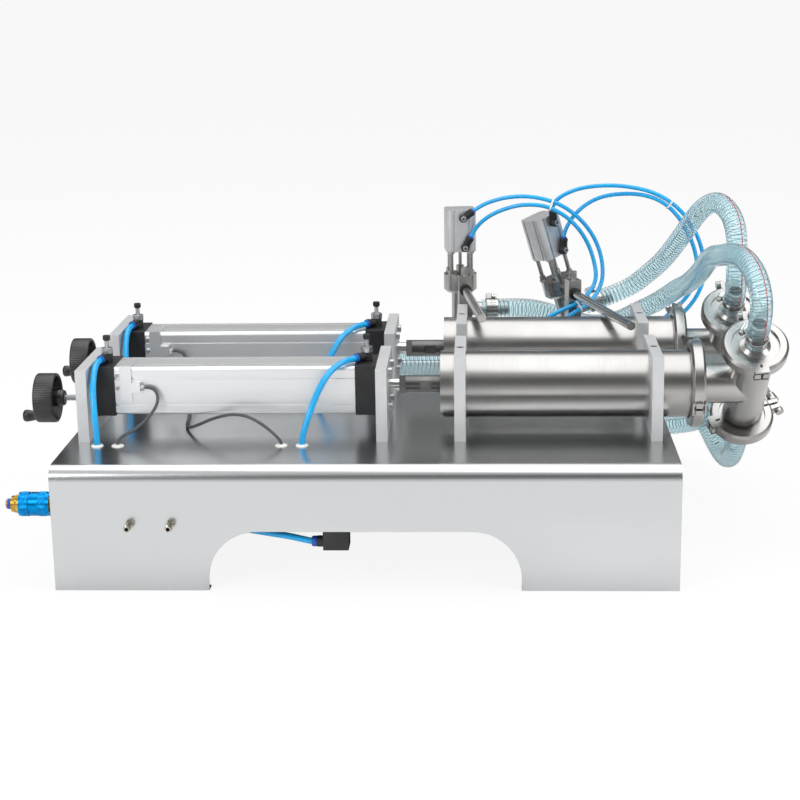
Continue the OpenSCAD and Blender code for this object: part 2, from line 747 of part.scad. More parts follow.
// Speed controllers on the caps: body, side arm for the tube, and the needle's knob
control_body = 14;
control_height = 11;
control_nut = 15;
control_nut_height = 7;
arm_height = 6;
arm_diameter = 11;
arm_length = 15;
arm_collar = 12.5;
arm_collar_length = 3;
needle_bore = 6;
stem_drop = 6;
stem_rise = 10;
knob_head = 9.5;
knob_head_height = 6.5;
rear_control_turn = -105;
front_control_turn = -132;
control_places = [
    [rear_cap_x + cap_length / 2, lanes[0], rear_control_turn],
    [front_cap_x + cap_length / 2, lanes[0], front_control_turn],
    [rear_cap_x + cap_length / 2, lanes[1], rear_control_turn],
    [front_cap_x + cap_length / 2, lanes[1], front_control_turn]
];

module speed_controllers() color("#222222") for (place = control_places) {
    translate([place[0], place[1], cap_top_z]) difference() {
        union() {
            translate([0, 0, -boss_depth]) cylinder(d = boss_diameter, h = boss_depth);
            cylinder(d = control_body, h = control_height);
            translate([0, 0, control_height]) cylinder(d = control_nut, h = control_nut_height, $fn = 6);
            rotate(place[2]) translate([0, 0, arm_height]) rotate([0, 90, 0]) {
                cylinder(d = arm_diameter, h = arm_length);
                translate([0, 0, arm_length]) cylinder(d = arm_collar, h = arm_collar_length);
            }
        }
        translate([0, 0, control_height + control_nut_height - stem_drop])
            cylinder(d = needle_bore + 2 * fit, h = stem_drop + cut);
        rotate(place[2]) translate([0, 0, arm_height]) rotate([0, 90, 0]) translate([0, 0, control_body / 2 + slip])
            cylinder(d = air_tube_diameter + 2 * slip, h = arm_length);
    }
}

module speed_knob(index) color("#1e1e1e") {
    place = control_places[index];
    translate([place[0], place[1], cap_top_z + control_height + control_nut_height]) {
        translate([0, 0, -stem_drop + slip]) cylinder(d = needle_bore, h = stem_drop + stem_rise);
        translate([0, 0, stem_rise]) cylinder(d = knob_head, h = knob_head_height);
    }
}

// Magnetic position sensors strapped to the rear ends of the barrels
strap_x = -318;
strap_width = 15;
strap_thickness = 2;
strap_below = 14;
strap_top = 38;
sensor = [12, 8, 13];
sensor_rise = 6;
sensor_plug = 6;
sensor_plug_length = 5;
tab = [5, 3, 6];
tab_heights = [2, 18];
module position_sensors() color("gainsboro") for (y = lanes) {
    front = y - profile_side / 2;
    translate([strap_x, front - strap_thickness, axis_z - strap_below])
        cube([strap_width, strap_thickness, profile_side / 2 + strap_below + strap_thickness]);
    translate([strap_x, front - strap_thickness, axis_z + profile_side / 2])
        cube([strap_width, strap_top, strap_thickness]);
    for (rise = tab_heights) translate([strap_x - tab[0], front - tab[1], axis_z + rise]) cube(tab);
    translate([strap_x + strap_width, front - sensor[1], axis_z - slip]) {
        cube(sensor);
        translate([sensor[0], sensor[1] / 2, sensor_rise]) along_x()
            cylinder(d = sensor_plug, h = sensor_plug_length);
    }
}

// A tube swept along a route: the route is smoothed, then carried along by rings that don't twist
function unit(v) = v / norm(v);
function smooth(p, i, t) =
    let (a = p[max(i - 1, 0)], b = p[i], c = p[i + 1], d = p[min(i + 2, len(p) - 1)])
    0.5 * (2 * b + (c - a) * t + (2 * a - 5 * b + 4 * c - d) * t * t + (3 * b - a - 3 * c + d) * t * t * t);
function smoothed(p, steps) = concat(
    [for (i = [0:len(p) - 2]) for (k = [0:steps - 1]) smooth(p, i, k / steps)],
    [p[len(p) - 1]]
);
function tangents(p) = [
    for (i = [0:len(p) - 1]) unit(p[min(i + 1, len(p) - 1)] - p[max(i - 1, 0)])
];
function carried(t, n, i) = i >= len(t) ? [] :
    let (m = unit(n - (n * t[i]) * t[i]))
    concat([m], carried(t, m, i + 1));
function rings(p, r, sides) =
    let (t = tangents(p), n = carried(t, abs(t[0][2]) > 0.8 ? [1, 0, 0] : [0, 0, 1], 0))
    [for (i = [0:len(p) - 1]) for (k = [0:sides - 1])
        let (a = 360 * k / sides) p[i] + r * (cos(a) * n[i] + sin(a) * cross(t[i], n[i]))];
function wall_faces(first, count, sides, out) = [
    for (i = [0:count - 2]) for (k = [0:sides - 1]) for (half = [0, 1])
        let (
            a = first + i * sides + k,
            b = first + i * sides + (k + 1) % sides,
            f = half == 0 ? [a, b, b + sides] : [a, b + sides, a + sides]
        )
        out ? [f[2], f[1], f[0]] : f
];
function rim_faces(outer, inner, sides, start) = [
    for (k = [0:sides - 1]) for (half = [0, 1])
        let (
            n = (k + 1) % sides,
            f = half == 0 ? [outer + k, outer + n, inner + n] : [outer + k, inner + n, inner + k]
        )
        start ? f : [f[2], f[1], f[0]]
];

// The routes are laid for a deck at this height; a higher or lower base carries them along
laid_deck = 156;
lift_none = 100;
lift_full = 145;
function lifted(route) = [
    for (q = route)
        let (share = max(0, min(1, (q[2] - lift_none) / (lift_full - lift_none))))
        [q[0], q[1], q[2] + share * (base_height - laid_deck)]
];

module cord(route, diameter, sides, steps) {
    p = smoothed(lifted(route), steps);
    count = len(p);
    polyhedron(
        points = rings(p, diameter / 2, sides),
        faces = concat(
            wall_faces(0, count, sides, true),
            [[for (k = [0:sides - 1]) k]],
            [[for (k = [sides - 1:-1:0]) (count - 1) * sides + k]]
        )
    );
}

module hose(route, steps) {
    sides = 12;
    p = smoothed(lifted(route), steps);
    count = len(p);
    total = count * sides;
    outer_r = hose_diameter / 2;
    inner_r = hose_bore / 2 / cos(180 / sides);
    polyhedron(
        points = concat(rings(p, outer_r, sides), rings(p, inner_r, sides)),
        faces = concat(
            wall_faces(0, count, sides, true),
            wall_faces(total, count, sides, false),
            rim_faces(0, total, sides, true),
            rim_faces(total - sides, 2 * total - sides, sides, false)
        )
    );
}

// Routes of the air tubes, sensor cables and hoses, with their points chosen by hand
rear_tube_route = [
    [-342.1, -116.6, 251.5], [-343.7, -122.4, 251.5], [-345, -128, 251.2], [-346, -135, 250.2],
    [-346.4, -143, 248], [-346.4, -156, 241], [-345.6, -168, 229], [-344, -178, 213], [-342, -185, 195],
    [-340.5, -188, 177], [-340, -188.5, 164], [-340, -188.5, 156], [-340, -188.5, 149],
    [-337.5, -188.5, 139.5], [-330, -188.5, 132.5], [-318, -188.5, 130.5], [-290, -188.5, 130.5],
    [-249, -188.5, 130.5], [-241, -188.5, 130.5]
];
front_tube_route = [
    [-12, -113.9, 251.5], [-16.1, -118.4, 251.5], [-24, -127, 251.3], [-34, -137.5, 249.8],
    [-46, -149, 243], [-56, -160, 231], [-65, -171, 214], [-72, -180, 196], [-78, -186, 178],
    [-81.6, -188.4, 164], [-82, -188.5, 156], [-82, -188.5, 149], [-84.5, -188.5, 139.5],
    [-92, -188.5, 132.5], [-104, -188.5, 130.5], [-140, -188.5, 130.5], [-173, -188.5, 130.5],
    [-181, -188.5, 130.5]
];
supply_tube_route = [
    [-376, -235, 95], [-366, -235, 95], [-350, -235, 94.8], [-320, -237, 93], [-280, -242, 88],
    [-240, -248, 82], [-195, -254, 76], [-150, -260, 71], [-115, -265.5, 67], [-92, -268, 64],
    [-76, -268.5, 60.5], [-66, -268.5, 58.4], [-58, -268.5, 58], [-50.3, -268.5, 58]
];
near_cable_route = [
    [-285.8, -140, 219.3], [-280, -140, 219.2], [-273, -141, 216], [-269, -144, 208], [-270, -149, 199],
    [-276, -156, 189], [-285, -165, 180], [-295, -174, 173], [-304, -181.5, 169.5], [-310, -186.3, 166],
    [-313.3, -188.3, 161.5], [-314, -188.5, 156.5], [-314, -188.5, 151.5], [-312.5, -188.5, 147.3],
    [-308, -188.5, 144.8], [-300, -188.5, 144.5], [-270, -188.5, 144.5], [-241, -188.5, 144.5]
];
far_cable_route = [
    [-285.8, 70, 219.3], [-280, 70, 219.2], [-272, 69, 216], [-267, 66, 207], [-265, 61, 193],
    [-264, 53, 178], [-262, 40, 165.5], [-258, 22, 159.4], [-252, -6, 158.3], [-247, -40, 158.3],
    [-243, -80, 158.3], [-240, -104, 158.8], [-232, -122, 162], [-218, -137, 170], [-200, -149, 180],
    [-182, -158, 187], [-166, -165, 190], [-150, -172, 188.5], [-136, -178, 183], [-123, -183.5, 175],
    [-113, -187.3, 166.5], [-108.7, -188.4, 161], [-108, -188.5, 156.5], [-108, -188.5, 151.5],
    [-109.5, -188.5, 147.3], [-114, -188.5, 144.8], [-122, -188.5, 144.5], [-150, -188.5, 144.5],
    [-181, -188.5, 144.5]
];
head_1_upper_route = [
    [123.7, 273.4, 375.7], [129.4, 274.1, 379.7], [135.1, 274.7, 383.7], [150, 273, 392], [175, 268, 400],
    [205, 262, 403], [235, 257, 399], [262, 256, 388], [287, 258, 368], [306, 260, 342],
    [317, 257, 312], [318, 249, 283], [308, 236, 262], [292, 222, 249], [272, 213, 238], [250, 208, 222],
    [234, 205.5, 200], [226, 205, 178], [225, 205, 164], [225, 205, 156], [225, 205, 148],
    [225, 205, 140.5]
];
head_1_lower_route = [
    [122.7, 273.3, 334.8], [125.9, 273.6, 341], [129.2, 274, 347.2], [138, 273, 360], [153, 269, 373],
    [175, 264, 384], [202, 258, 391], [232, 253, 390], [258, 251, 379], [280, 252, 360],
    [296, 254, 336], [306, 252, 308], [308, 243, 284], [297, 231, 265], [279, 220, 252.5],
    [255, 212, 243], [230, 207, 229], [212, 205, 206], [205.6, 205, 182], [205, 205, 164],
    [205, 205, 156], [205, 205, 148], [205, 205, 140.5]
];
head_2_upper_route = [
    [247.1, 269.7, 372.9], [246.2, 269.9, 379.8], [246.5, 270.3, 387], [253, 271.5, 397],
    [268, 273, 406], [290, 274, 413], [318, 274, 416], [350, 272, 415], [385, 269, 408],
    [414, 266, 394], [438, 261, 372], [455, 255, 344], [464, 247, 312], [463, 239, 282],
    [451, 231, 256], [430, 224, 233], [402, 216, 212], [372, 209, 193], [350, 205.5, 176],
    [341, 205, 164], [340, 205, 156], [340, 205, 148], [340, 205, 140.5]
];
head_2_lower_route = [
    [262.8, 275.9, 331.3], [263.1, 277.1, 338.2], [263.7, 278.2, 345.1], [269, 280, 358],
    [280, 281, 374], [296, 281, 388], [316, 280, 398], [342, 277, 403], [374, 272, 402.5],
    [403, 267, 393], [426, 262, 373], [443, 255, 346], [453, 247, 315], [453, 239, 287],
    [440, 230, 261], [416, 222, 238], [387, 213.5, 218], [354, 207.5, 196], [327, 205, 177],
    [320.4, 205, 164], [320, 205, 156], [320, 205, 148], [320, 205, 140.5]
];
near_outlet_route = [
    [480, -158, 276.7], [480, -170.6, 291.6], [480, -184.1, 307.7], [480, -193, 323],
    [479, -194, 341], [476, -182, 359], [471, -160, 372], [464, -128, 379], [457, -90, 377],
    [451, -45, 367.5], [443, 5, 355.5], [435, 64, 323.5], [427, 124, 298.5], [420, 165, 285],
    [410, 200, 269], [395, 228, 252], [373, 253, 235], [346, 278, 216], [317, 303, 204.5],
    [290, 324, 203.5], [265, 332, 210], [240, 329.5, 218.5], [218, 320.5, 225], [200, 312.5, 228],
    [182.8, 308.6, 228.8], [162, 306, 229], [142.1, 303.7, 229]
];
far_outlet_route = [
    [480, 52, 276.7], [480, 39.4, 291.6], [480, 25.9, 307.7], [479, 16, 325], [478, 12, 345],
    [478, 14, 367], [477, 26, 390], [472, 50, 408], [462, 87, 416], [452, 128, 407],
    [442, 170, 386], [431, 210, 357], [419, 246, 328], [405, 280, 301], [388, 306, 279],
    [371, 319, 262], [354, 323, 251.5], [336.2, 320.2, 245], [316.8, 314.8, 239.1], [298.3, 309.6, 233.4]
];
near_inlet_route = [
    [480, -52, 150.3], [480, -39.4, 135.3], [480, -26.4, 119.9], [480, -8, 100.5], [480, 19, 81.5],
    [478.5, 50, 69.5], [475, 83, 68.5], [469, 114, 77.5], [460.5, 142, 94], [449, 166.5, 113],
    [434, 188.5, 132.5], [414.5, 209, 152.5], [390.5, 227.5, 168.5], [362, 242.5, 174],
    [330.5, 253.5, 173.5], [298, 260, 171], [265, 262, 170.3], [231.5, 262, 170.3],
    [198, 262, 170.3], [165, 262, 170.3], [132, 262, 170.3], [90, 262, 170.3], [47, 262, 170.3],
    [4, 262, 170.3], [-39, 262, 170.3], [-82, 262, 170.3], [-125, 262, 170.3], [-168, 262, 170.3],
    [-211, 262, 170.3], [-254, 262, 170.3], [-297, 262, 170.3], [-340, 262, 170.3]
];
far_inlet_route = [
    [480, 158, 150.3], [480, 170.6, 135.3], [480, 183.6, 119.9], [480, 194.5, 108],
    [476, 215, 89.5], [467.5, 237, 74.5], [453.5, 258, 63.5], [435, 277, 55], [412.5, 292.5, 48.5],
    [387.5, 303, 42.5], [361, 309, 36.5], [333.5, 310.5, 30.5], [306.5, 309, 25], [279, 306.5, 20],
    [251.5, 303.5, 16.5], [223.5, 301.5, 14.7], [196, 301, 14.3], [168, 301, 14.3],
    [140, 301, 14.3], [100, 301, 14.3], [60, 301, 14.3], [20, 301, 14.3], [-20, 301, 14.3],
    [-60, 301, 14.3], [-100, 301, 14.3], [-140, 301, 14.3], [-180, 301, 14.3], [-220, 301, 14.3],
    [-260, 301, 14.3], [-300, 301, 14.3]
];

module main_air_tubes() color("deepskyblue") {
    for (lane = [0, 1]) translate([0, lane * lane_pitch, 0]) {
        cord(rear_tube_route, air_tube_diameter, 8, 2);
        cord(front_tube_route, air_tube_diameter, 8, 2);
    }
    cord(supply_tube_route, air_tube_diameter, 8, 2);
}
module sensor_cables() color("gray") {
    cord(near_cable_route, cable_diameter, 8, 1);
    cord(far_cable_route, cable_diameter, 8, 1);
}
module near_outlet_hose() color("paleturquoise", 0.6) hose(near_outlet_route, 2);
module far_outlet_hose() color("paleturquoise", 0.6) hose(far_outlet_route, 2);
module near_inlet_hose() color("paleturquoise", 0.6) hose(near_inlet_route, 2);
module far_inlet_hose() color("paleturquoise", 0.6) hose(far_inlet_route, 2);
module head_1_air_tubes() color("deepskyblue") {
    cord(head_1_upper_route, head_tube_diameter, 8, 2);
    cord(head_1_lower_route, head_tube_diameter, 8, 2);
}
module head_2_air_tubes() color("deepskyblue") {
    cord(head_2_upper_route, head_tube_diameter, 8, 2);
    cord(head_2_lower_route, head_tube_diameter, 8, 2);
}

// The two shut-off heads: each turns on the rod that its post holds behind the far lane
post_y = 234.5;
head_rod_rises = [116, 109.5];
head_rod_fronts = [211, 242];
head_behind = 66;
post_rise = 20;
block_height = 40;
block_gap = 0.6;
block_neck = 12;
clamp_screw_diameter = 10.5;
clamp_screw_height = 12;
head_xs = [head_1_x, head_2_x];
head_turns = [head_1_turn, head_2_turn];
head_tilts = [head_1_tilt, head_2_tilt];
body_turns = [0, 22];
flange_up = 12;
flange_down = 15;
flange_chamfer = 4;
cylinder_base = 47;
tie_offset = 14.5;
tie_diameter = 6;
tie_nut = 10;
tie_nut_height = 7;
nozzle_top = 26;
nozzle_step = 55;
nozzle_cone = 10;
nozzle_tip = 16;
nozzle_end = 98;
chamber_bore = 12;
outlet_bore = 8;
outlet_length = 10;
needle_diameter = 5;
needle_plug = 11;
needle_plug_length = 9;
needle_nut = 12;
needle_nut_height = 12;
needle_nut_gap = 0.3;
needle_overlap = 8;
port_drop = 43;
port_start = 32;
head_wall = 5;
fitting_places = [[2, 51], [4.5, 7]];
fitting_angles = [[35, 62], [80, 67]];
fitting_stub = 9;
fitting_stub_length = 11;
fitting_reach = 6;
fitting_arm = 10;
fitting_arm_length = 14;
fitting_collar = 10.5;
fitting_collar_length = 3;
lobe_radius = 7.5;
lobe_slot = 2.5;
lobe_slot_offset = 11;

// Frame of a head: origin where the rod's axis meets the head's own axis, Y back along the rod
module head_frame(i, tilted) translate([head_xs[i], post_y, base_height + head_rod_rises[i]])
    rotate([0, 0, head_turns[i]]) translate([0, head_behind, 0]) rotate([0, tilted ? -head_tilts[i] : 0, 0])
        children();

module head_posts() color("silver") for (i = [0, 1]) {
    top = head_rod_rises[i] + post_rise;
    translate([head_xs[i], post_y, base_height]) rotate([0, 0, head_turns[i]]) {
        translate([-post_side / 2, -post_side / 2, 0])
            cube([post_side, post_side, top - block_height - block_gap]);
        difference() {
            translate([-post_side / 2, -post_side / 2, top - block_height])
                cube([post_side, post_side, block_height]);
            translate([0, post_side, head_rod_rises[i]]) rotate([90, 0, 0])
                cylinder(d = head_rod_diameter + 2 * fit, h = 2 * post_side);
        }
        translate([0, 0, top - block_height - block_gap]) cylinder(d = block_neck, h = block_gap);
        translate([0, 0, top]) cylinder(d = clamp_screw_diameter, h = clamp_screw_height);
    }
}

module head_rod(i) color("silver") head_frame(i, true) rotate([90, 0, 0])
    translate([0, 0, flange_diameter / 2 - head_wall])
        cylinder(d = head_rod_diameter, h = head_rod_fronts[i] + head_behind - flange_diameter / 2 + head_wall);

module head_nozzle(i) color("silver") head_frame(i, true) {
    difference() {
        union() {
            translate([0, 0, flange_chamfer - flange_down])
                cylinder(d = flange_diameter, h = flange_up + flange_down - flange_chamfer);
            translate([0, 0, -flange_down])
                cylinder(d1 = flange_diameter - 2 * flange_chamfer, d2 = flange_diameter, h = flange_chamfer);
            translate([0, 0, -nozzle_step]) cylinder(d = nozzle_top, h = nozzle_step);
            translate([0, 0, -nozzle_step - nozzle_cone])
                cylinder(d1 = nozzle_tip, d2 = nozzle_top, h = nozzle_cone);
            translate([0, 0, -nozzle_end]) cylinder(d = nozzle_tip, h = nozzle_end - nozzle_step);
            translate([0, 0, -port_drop]) rotate([0, 90, 0])
                cylinder(d = hose_bore - 2 * slip, h = port_start + tail_length);
        }
        translate([0, 0, outlet_length - nozzle_end])
            cylinder(d = chamber_bore, h = nozzle_end - outlet_length - head_wall);
        translate([0, 0, -nozzle_end - cut]) cylinder(d = outlet_bore, h = outlet_length + 2 * cut);
        translate([0, 0, -nozzle_step]) cylinder(d = needle_diameter + 2 * fit, h = nozzle_step + flange_up + cut);
        translate([0, 0, -port_drop]) rotate([0, 90, 0])
            cylinder(d = hose_bore - 2 * tail_wall, h = port_start + tail_length + cut);
        rotate([90, 0, 0]) translate([0, 0, flange_diameter / 2 - head_wall])
            cylinder(d = head_rod_diameter + 2 * slip, h = flange_diameter);
    }
    rotate(body_turns[i]) for (dx = [-1, 1]) for (dy = [-1, 1]) {
        translate([dx * tie_offset, dy * tie_offset, flange_up - cut]) {
            cylinder(d = tie_diameter, h = cylinder_base - flange_up + cut);
            cylinder(d = tie_nut, h = tie_nut_height + cut, $fn = 6);
        }
    }
    translate([port_start, 0, -port_drop]) rotate([0, 90, 0]) translate([0, 0, -band_offset / 2])
        rotate(clamp_screw_turn) hose_clamp();
}

module head_cylinder_outline() difference() {
    middle = head_side - 4 * lobe_radius;
    union() {
        square([middle + 2 * lobe_radius, head_side], center = true);
        square([head_side, middle + 2 * lobe_radius], center = true);
        for (dx = [-1, 1]) for (dy = [-1, 1]) {
            translate([dx, dy] * (head_side / 2 - lobe_radius)) circle(r = lobe_radius);
        }
    }
    for (turn = [0:90:270]) for (side = [-1, 1]) rotate(turn)
        translate([head_side / 2 - lobe_slot, side * lobe_slot_offset - lobe_slot / 2])
            square([lobe_slot + cut, lobe_slot]);
}

module head_cylinder(i) color("gainsboro") head_frame(i, true) rotate(body_turns[i])
    translate([0, 0, cylinder_base]) {
        difference() {
            linear_extrude(head_length) head_cylinder_outline();
            translate([0, 0, -cut])
                cylinder(d = needle_diameter + 2 * fit, h = needle_overlap + needle_travel + 2 * cut);
        }
        for (k = [0, 1]) translate([fitting_places[k][0], -head_side / 2, fitting_places[k][1]]) {
            rotate([90, 0, 0]) cylinder(d = fitting_stub, h = fitting_stub_length);
            translate([0, -fitting_reach, 0]) rotate([0, 90 - fitting_angles[i][k], 0]) difference() {
                union() {
                    cylinder(d = fitting_arm, h = fitting_arm_length);
                    translate([0, 0, fitting_arm_length]) cylinder(d = fitting_collar, h = fitting_collar_length);
                }
                translate([0, 0, fitting_stub / 2 + 2 * slip])
                    cylinder(d = head_tube_diameter + 2 * slip, h = fitting_arm_length);
            }
        }
    }

module head_needle(i) color("lightgray") head_frame(i, true) {
    translate([0, 0, outlet_length - nozzle_end])
        cylinder(d = needle_diameter, h = nozzle_end - outlet_length + cylinder_base + needle_overlap);
    translate([0, 0, outlet_length - nozzle_end]) cylinder(d = needle_plug, h = needle_plug_length);
    translate([0, 0, flange_up + needle_nut_gap]) cylinder(d = needle_nut, h = needle_nut_height, $fn = 6);
}

// The origin stands under the middle of everything but the free hoses
left_reach = -(wheel_x - knob_gap - knob_length);
right_reach = tee_x + small_ferrule / 2 + clamp_wall + lug_reach;
front_reach = half_depth + nipple_reach + nipple_barb;
back_reach = post_y + head_behind + flange_diameter / 2 + band_offset;
middle_x = (right_reach - left_reach) / 2;
middle_y = (back_reach - front_reach) / 2;
module placed() translate([-middle_x, -middle_y, 0]) children();

placed() base_cover();
placed() end_panels();
placed() deck_grommets();
placed() front_nipples();
placed() inlet_valve_body();
placed() inlet_sleeve();
placed() control_valves();
placed() under_air_valve();
placed() support_plates();
placed() plate_screws();
placed() drive_caps();
placed() drive_barrel(lanes[0]);  // near_drive_barrel
placed() drive_barrel(lanes[1]);  // far_drive_barrel
placed() drive_piston(lanes[0]);  // near_drive_piston
placed() drive_piston(lanes[1]);  // far_drive_piston
placed() fill_piston(lanes[0]);  // near_fill_piston
placed() fill_piston(lanes[1]);  // far_fill_piston
placed() stop_pad(lanes[0]);  // near_stop_pad
placed() stop_pad(lanes[1]);  // far_stop_pad
placed() handwheel(lanes[0], crank_turns[0]);  // near_handwheel
placed() handwheel(lanes[1], crank_turns[1]);  // far_handwheel
placed() crank_knob(lanes[0], crank_turns[0]);  // near_crank_knob
placed() crank_knob(lanes[1], crank_turns[1]);  // far_crank_knob
placed() fill_tube(lanes[0]);  // near_fill_tube
placed() fill_tube(lanes[1]);  // far_fill_tube
placed() tee(lanes[0]);  // near_tee
placed() tee(lanes[1]);  // far_tee
placed() hose_caps();
placed() lane_clamps(lanes[0]);  // near_clamps
placed() lane_clamps(lanes[1]);  // far_clamps
placed() clamp_wing_nut(lanes[0], "large", near_nut_turns[0]);  // near_large_wing_nut
placed() clamp_wing_nut(lanes[0], "upper", near_nut_turns[1]);  // near_upper_wing_nut
placed() clamp_wing_nut(lanes[0], "lower", near_nut_turns[2]);  // near_lower_wing_nut
placed() clamp_wing_nut(lanes[1], "large", far_nut_turns[0]);  // far_large_wing_nut
placed() clamp_wing_nut(lanes[1], "upper", far_nut_turns[1]);  // far_upper_wing_nut
placed() clamp_wing_nut(lanes[1], "lower", far_nut_turns[2]);  // far_lower_wing_nut
placed() hose_clamps();
placed() speed_controllers();
placed() speed_knob(0);  // near_rear_speed_knob
placed() speed_knob(1);  // near_front_speed_knob
placed() speed_knob(2);  // far_rear_speed_knob
placed() speed_knob(3);  // far_front_speed_knob
placed() position_sensors();
placed() sensor_cables();
placed() main_air_tubes();
placed() near_outlet_hose();
placed() far_outlet_hose();
placed() near_inlet_hose();
placed() far_inlet_hose();
placed() head_posts();
placed() head_rod(0);  // head_1_rod
placed() head_nozzle(0);  // head_1_nozzle
placed() head_cylinder(0);  // head_1_cylinder
placed() head_needle(0);  // head_1_needle
placed() head_1_air_tubes();
placed() head_rod(1);  // head_2_rod
placed() head_nozzle(1);  // head_2_nozzle
placed() head_cylinder(1);  // head_2_cylinder
placed() head_needle(1);  // head_2_needle
placed() head_2_air_tubes();
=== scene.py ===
# %% [markdown]
# # A liquid filling machine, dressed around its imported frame
# The machine stands on a folded steel base. Two air cylinders push two filling pistons, and hoses
# lead the liquid to two shut-off heads. The rigid shapes come ready from the CAD frame. This script
# adds what a photograph shows beyond them: finishes, hoses with their steel spirals, tubes, cables,
# clamps, knurls, threads and ties.
# %% Load the frame
import math

import bpy
import numpy as np
from mathutils import Matrix, Vector


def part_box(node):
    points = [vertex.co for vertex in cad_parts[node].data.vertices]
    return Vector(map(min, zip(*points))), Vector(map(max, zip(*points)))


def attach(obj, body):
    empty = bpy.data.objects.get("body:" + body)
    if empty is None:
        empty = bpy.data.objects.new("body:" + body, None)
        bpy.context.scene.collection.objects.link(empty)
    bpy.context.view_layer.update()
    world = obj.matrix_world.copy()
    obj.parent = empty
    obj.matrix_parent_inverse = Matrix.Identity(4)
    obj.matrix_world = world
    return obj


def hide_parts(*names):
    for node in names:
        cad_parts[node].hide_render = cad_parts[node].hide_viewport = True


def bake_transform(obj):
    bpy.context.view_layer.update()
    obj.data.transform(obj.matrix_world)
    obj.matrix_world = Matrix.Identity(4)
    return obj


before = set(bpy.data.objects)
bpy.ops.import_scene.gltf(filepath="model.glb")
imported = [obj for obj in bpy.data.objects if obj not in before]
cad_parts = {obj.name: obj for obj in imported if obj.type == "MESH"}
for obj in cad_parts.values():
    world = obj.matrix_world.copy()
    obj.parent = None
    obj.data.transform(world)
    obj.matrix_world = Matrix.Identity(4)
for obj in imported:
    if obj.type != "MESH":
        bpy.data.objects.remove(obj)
scene = bpy.context.scene
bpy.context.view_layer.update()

# %% [markdown]
# All the sizes below are millimetres from the middle of the base's underside, X to the right,
# Y to the back and Z up. The frame itself is in metres with another origin, so one function turns
# a measured point into a frame point. The base cover's own box says where its middle is.
# %% A measured place
cover_low, cover_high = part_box("base_cover")
MIDDLE = np.array([(cover_low.x + cover_high.x) / 2, (cover_low.y + cover_high.y) / 2, 0])


def in_frame(points):
    """Turns millimetres from the middle of the base into metres in the frame."""
    return np.asarray(points, float) / 1000 + MIDDLE


print("middle of the base:", MIDDLE.round(5))

# %% [markdown]
# The photograph was taken from in front and a little above, with a long lens. The camera was
# solved from the corners of the base and the axes of the tubes. A camera looks along its own
# minus Z, so its matrix is built from its right, up and backward directions.
# %% Camera
LENS_MM = 79.24
SENSOR_MM = 36
YAW = math.radians(-2.824)
PITCH = math.radians(14.425)
ROLL = math.radians(-0.913)
ahead = Vector((math.sin(YAW) * math.cos(PITCH), math.cos(YAW) * math.cos(PITCH), -math.sin(PITCH)))
level = Vector((math.cos(YAW), -math.sin(YAW), 0))
above = level.cross(ahead)
right = level * math.cos(ROLL) + above * math.sin(ROLL)
up = above * math.cos(ROLL) - level * math.sin(ROLL)
lens = bpy.data.cameras.new("photo_camera")
lens.lens = LENS_MM
lens.sensor_width = SENSOR_MM
camera = bpy.data.objects.new("photo_camera", lens)
turn = Matrix((right, up, -ahead)).transposed().to_4x4()
camera.matrix_world = Matrix.Translation(in_frame([145.233, -2295.035, 756.705])) @ turn
scene.collection.objects.link(camera)
scene.camera = camera
scene.view_settings.view_transform = "Standard"
print("camera at", [round(v, 3) for v in camera.matrix_world.translation])

# %% [markdown]
# Everything soft on this machine is a tube that follows a line: hoses, air tubes and cables. A
# route has few points, so a smooth line is drawn through them, evened out to equal steps and
# softened a little, as a stiff hose would do by itself.
# %% Lines through points
def distances(line):
    """How far along a line each of its points is."""
    return np.r_[0, np.cumsum(np.linalg.norm(np.diff(line, axis=0), axis=1))]


def length_of(line):
    return float(distances(line)[-1])


def even(line, step):
    """Puts points along a line again at equal steps."""
    far = distances(line)
    places = np.linspace(0, far[-1], max(3, round(far[-1] / step) + 1))
    return np.array([np.interp(places, far, line[:, axis]) for axis in range(3)]).T


def smooth_line(points, step, soften=0.0):
    """Draws a smooth line through the points, with a point at every step of millimetres."""
    points = np.array(points, float)
    ends = np.vstack([2 * points[0] - points[1], points, 2 * points[-1] - points[-2]])
    t = np.linspace(0, 1, 12, endpoint=False)[:, None]
    pieces = []
    for a, b, c, d in zip(ends[:-3], ends[1:-2], ends[2:-1], ends[3:]):
        bend = (2 * a - 5 * b + 4 * c - d) * t ** 2 + (3 * b - a - 3 * c + d) * t ** 3
        pieces.append((2 * b + (c - a) * t + bend) / 2)
    line = even(np.vstack(pieces + [points[-1:]]), 1)
    if soften:
        reach = int(3 * soften)
        weights = np.exp(-0.5 * (np.arange(-reach, reach + 1) / soften) ** 2)
        before = 2 * line[0] - line[reach:0:-1]
        after = 2 * line[-1] - line[-2:-reach - 2:-1]
        long_line = np.vstack([before, line, after])
        weights /= weights.sum()
        line = np.array([np.convolve(long_line[:, axis], weights, "valid") for axis in range(3)]).T
    return even(line, step)


def steer(line):
    """Gives each point of a line two directions across it that never twist round it."""
    ahead = np.gradient(line, axis=0)
    ahead /= np.linalg.norm(ahead, axis=1)[:, None]
    side = np.array([0.0, 1.0, 0.0] if abs(ahead[0][2]) > 0.9 else [0.0, 0.0, 1.0])
    sides = []
    for direction in ahead:
        side = side - (side @ direction) * direction
        side = side / np.linalg.norm(side)
        sides.append(side)
    return np.array(sides), np.cross(ahead, sides)


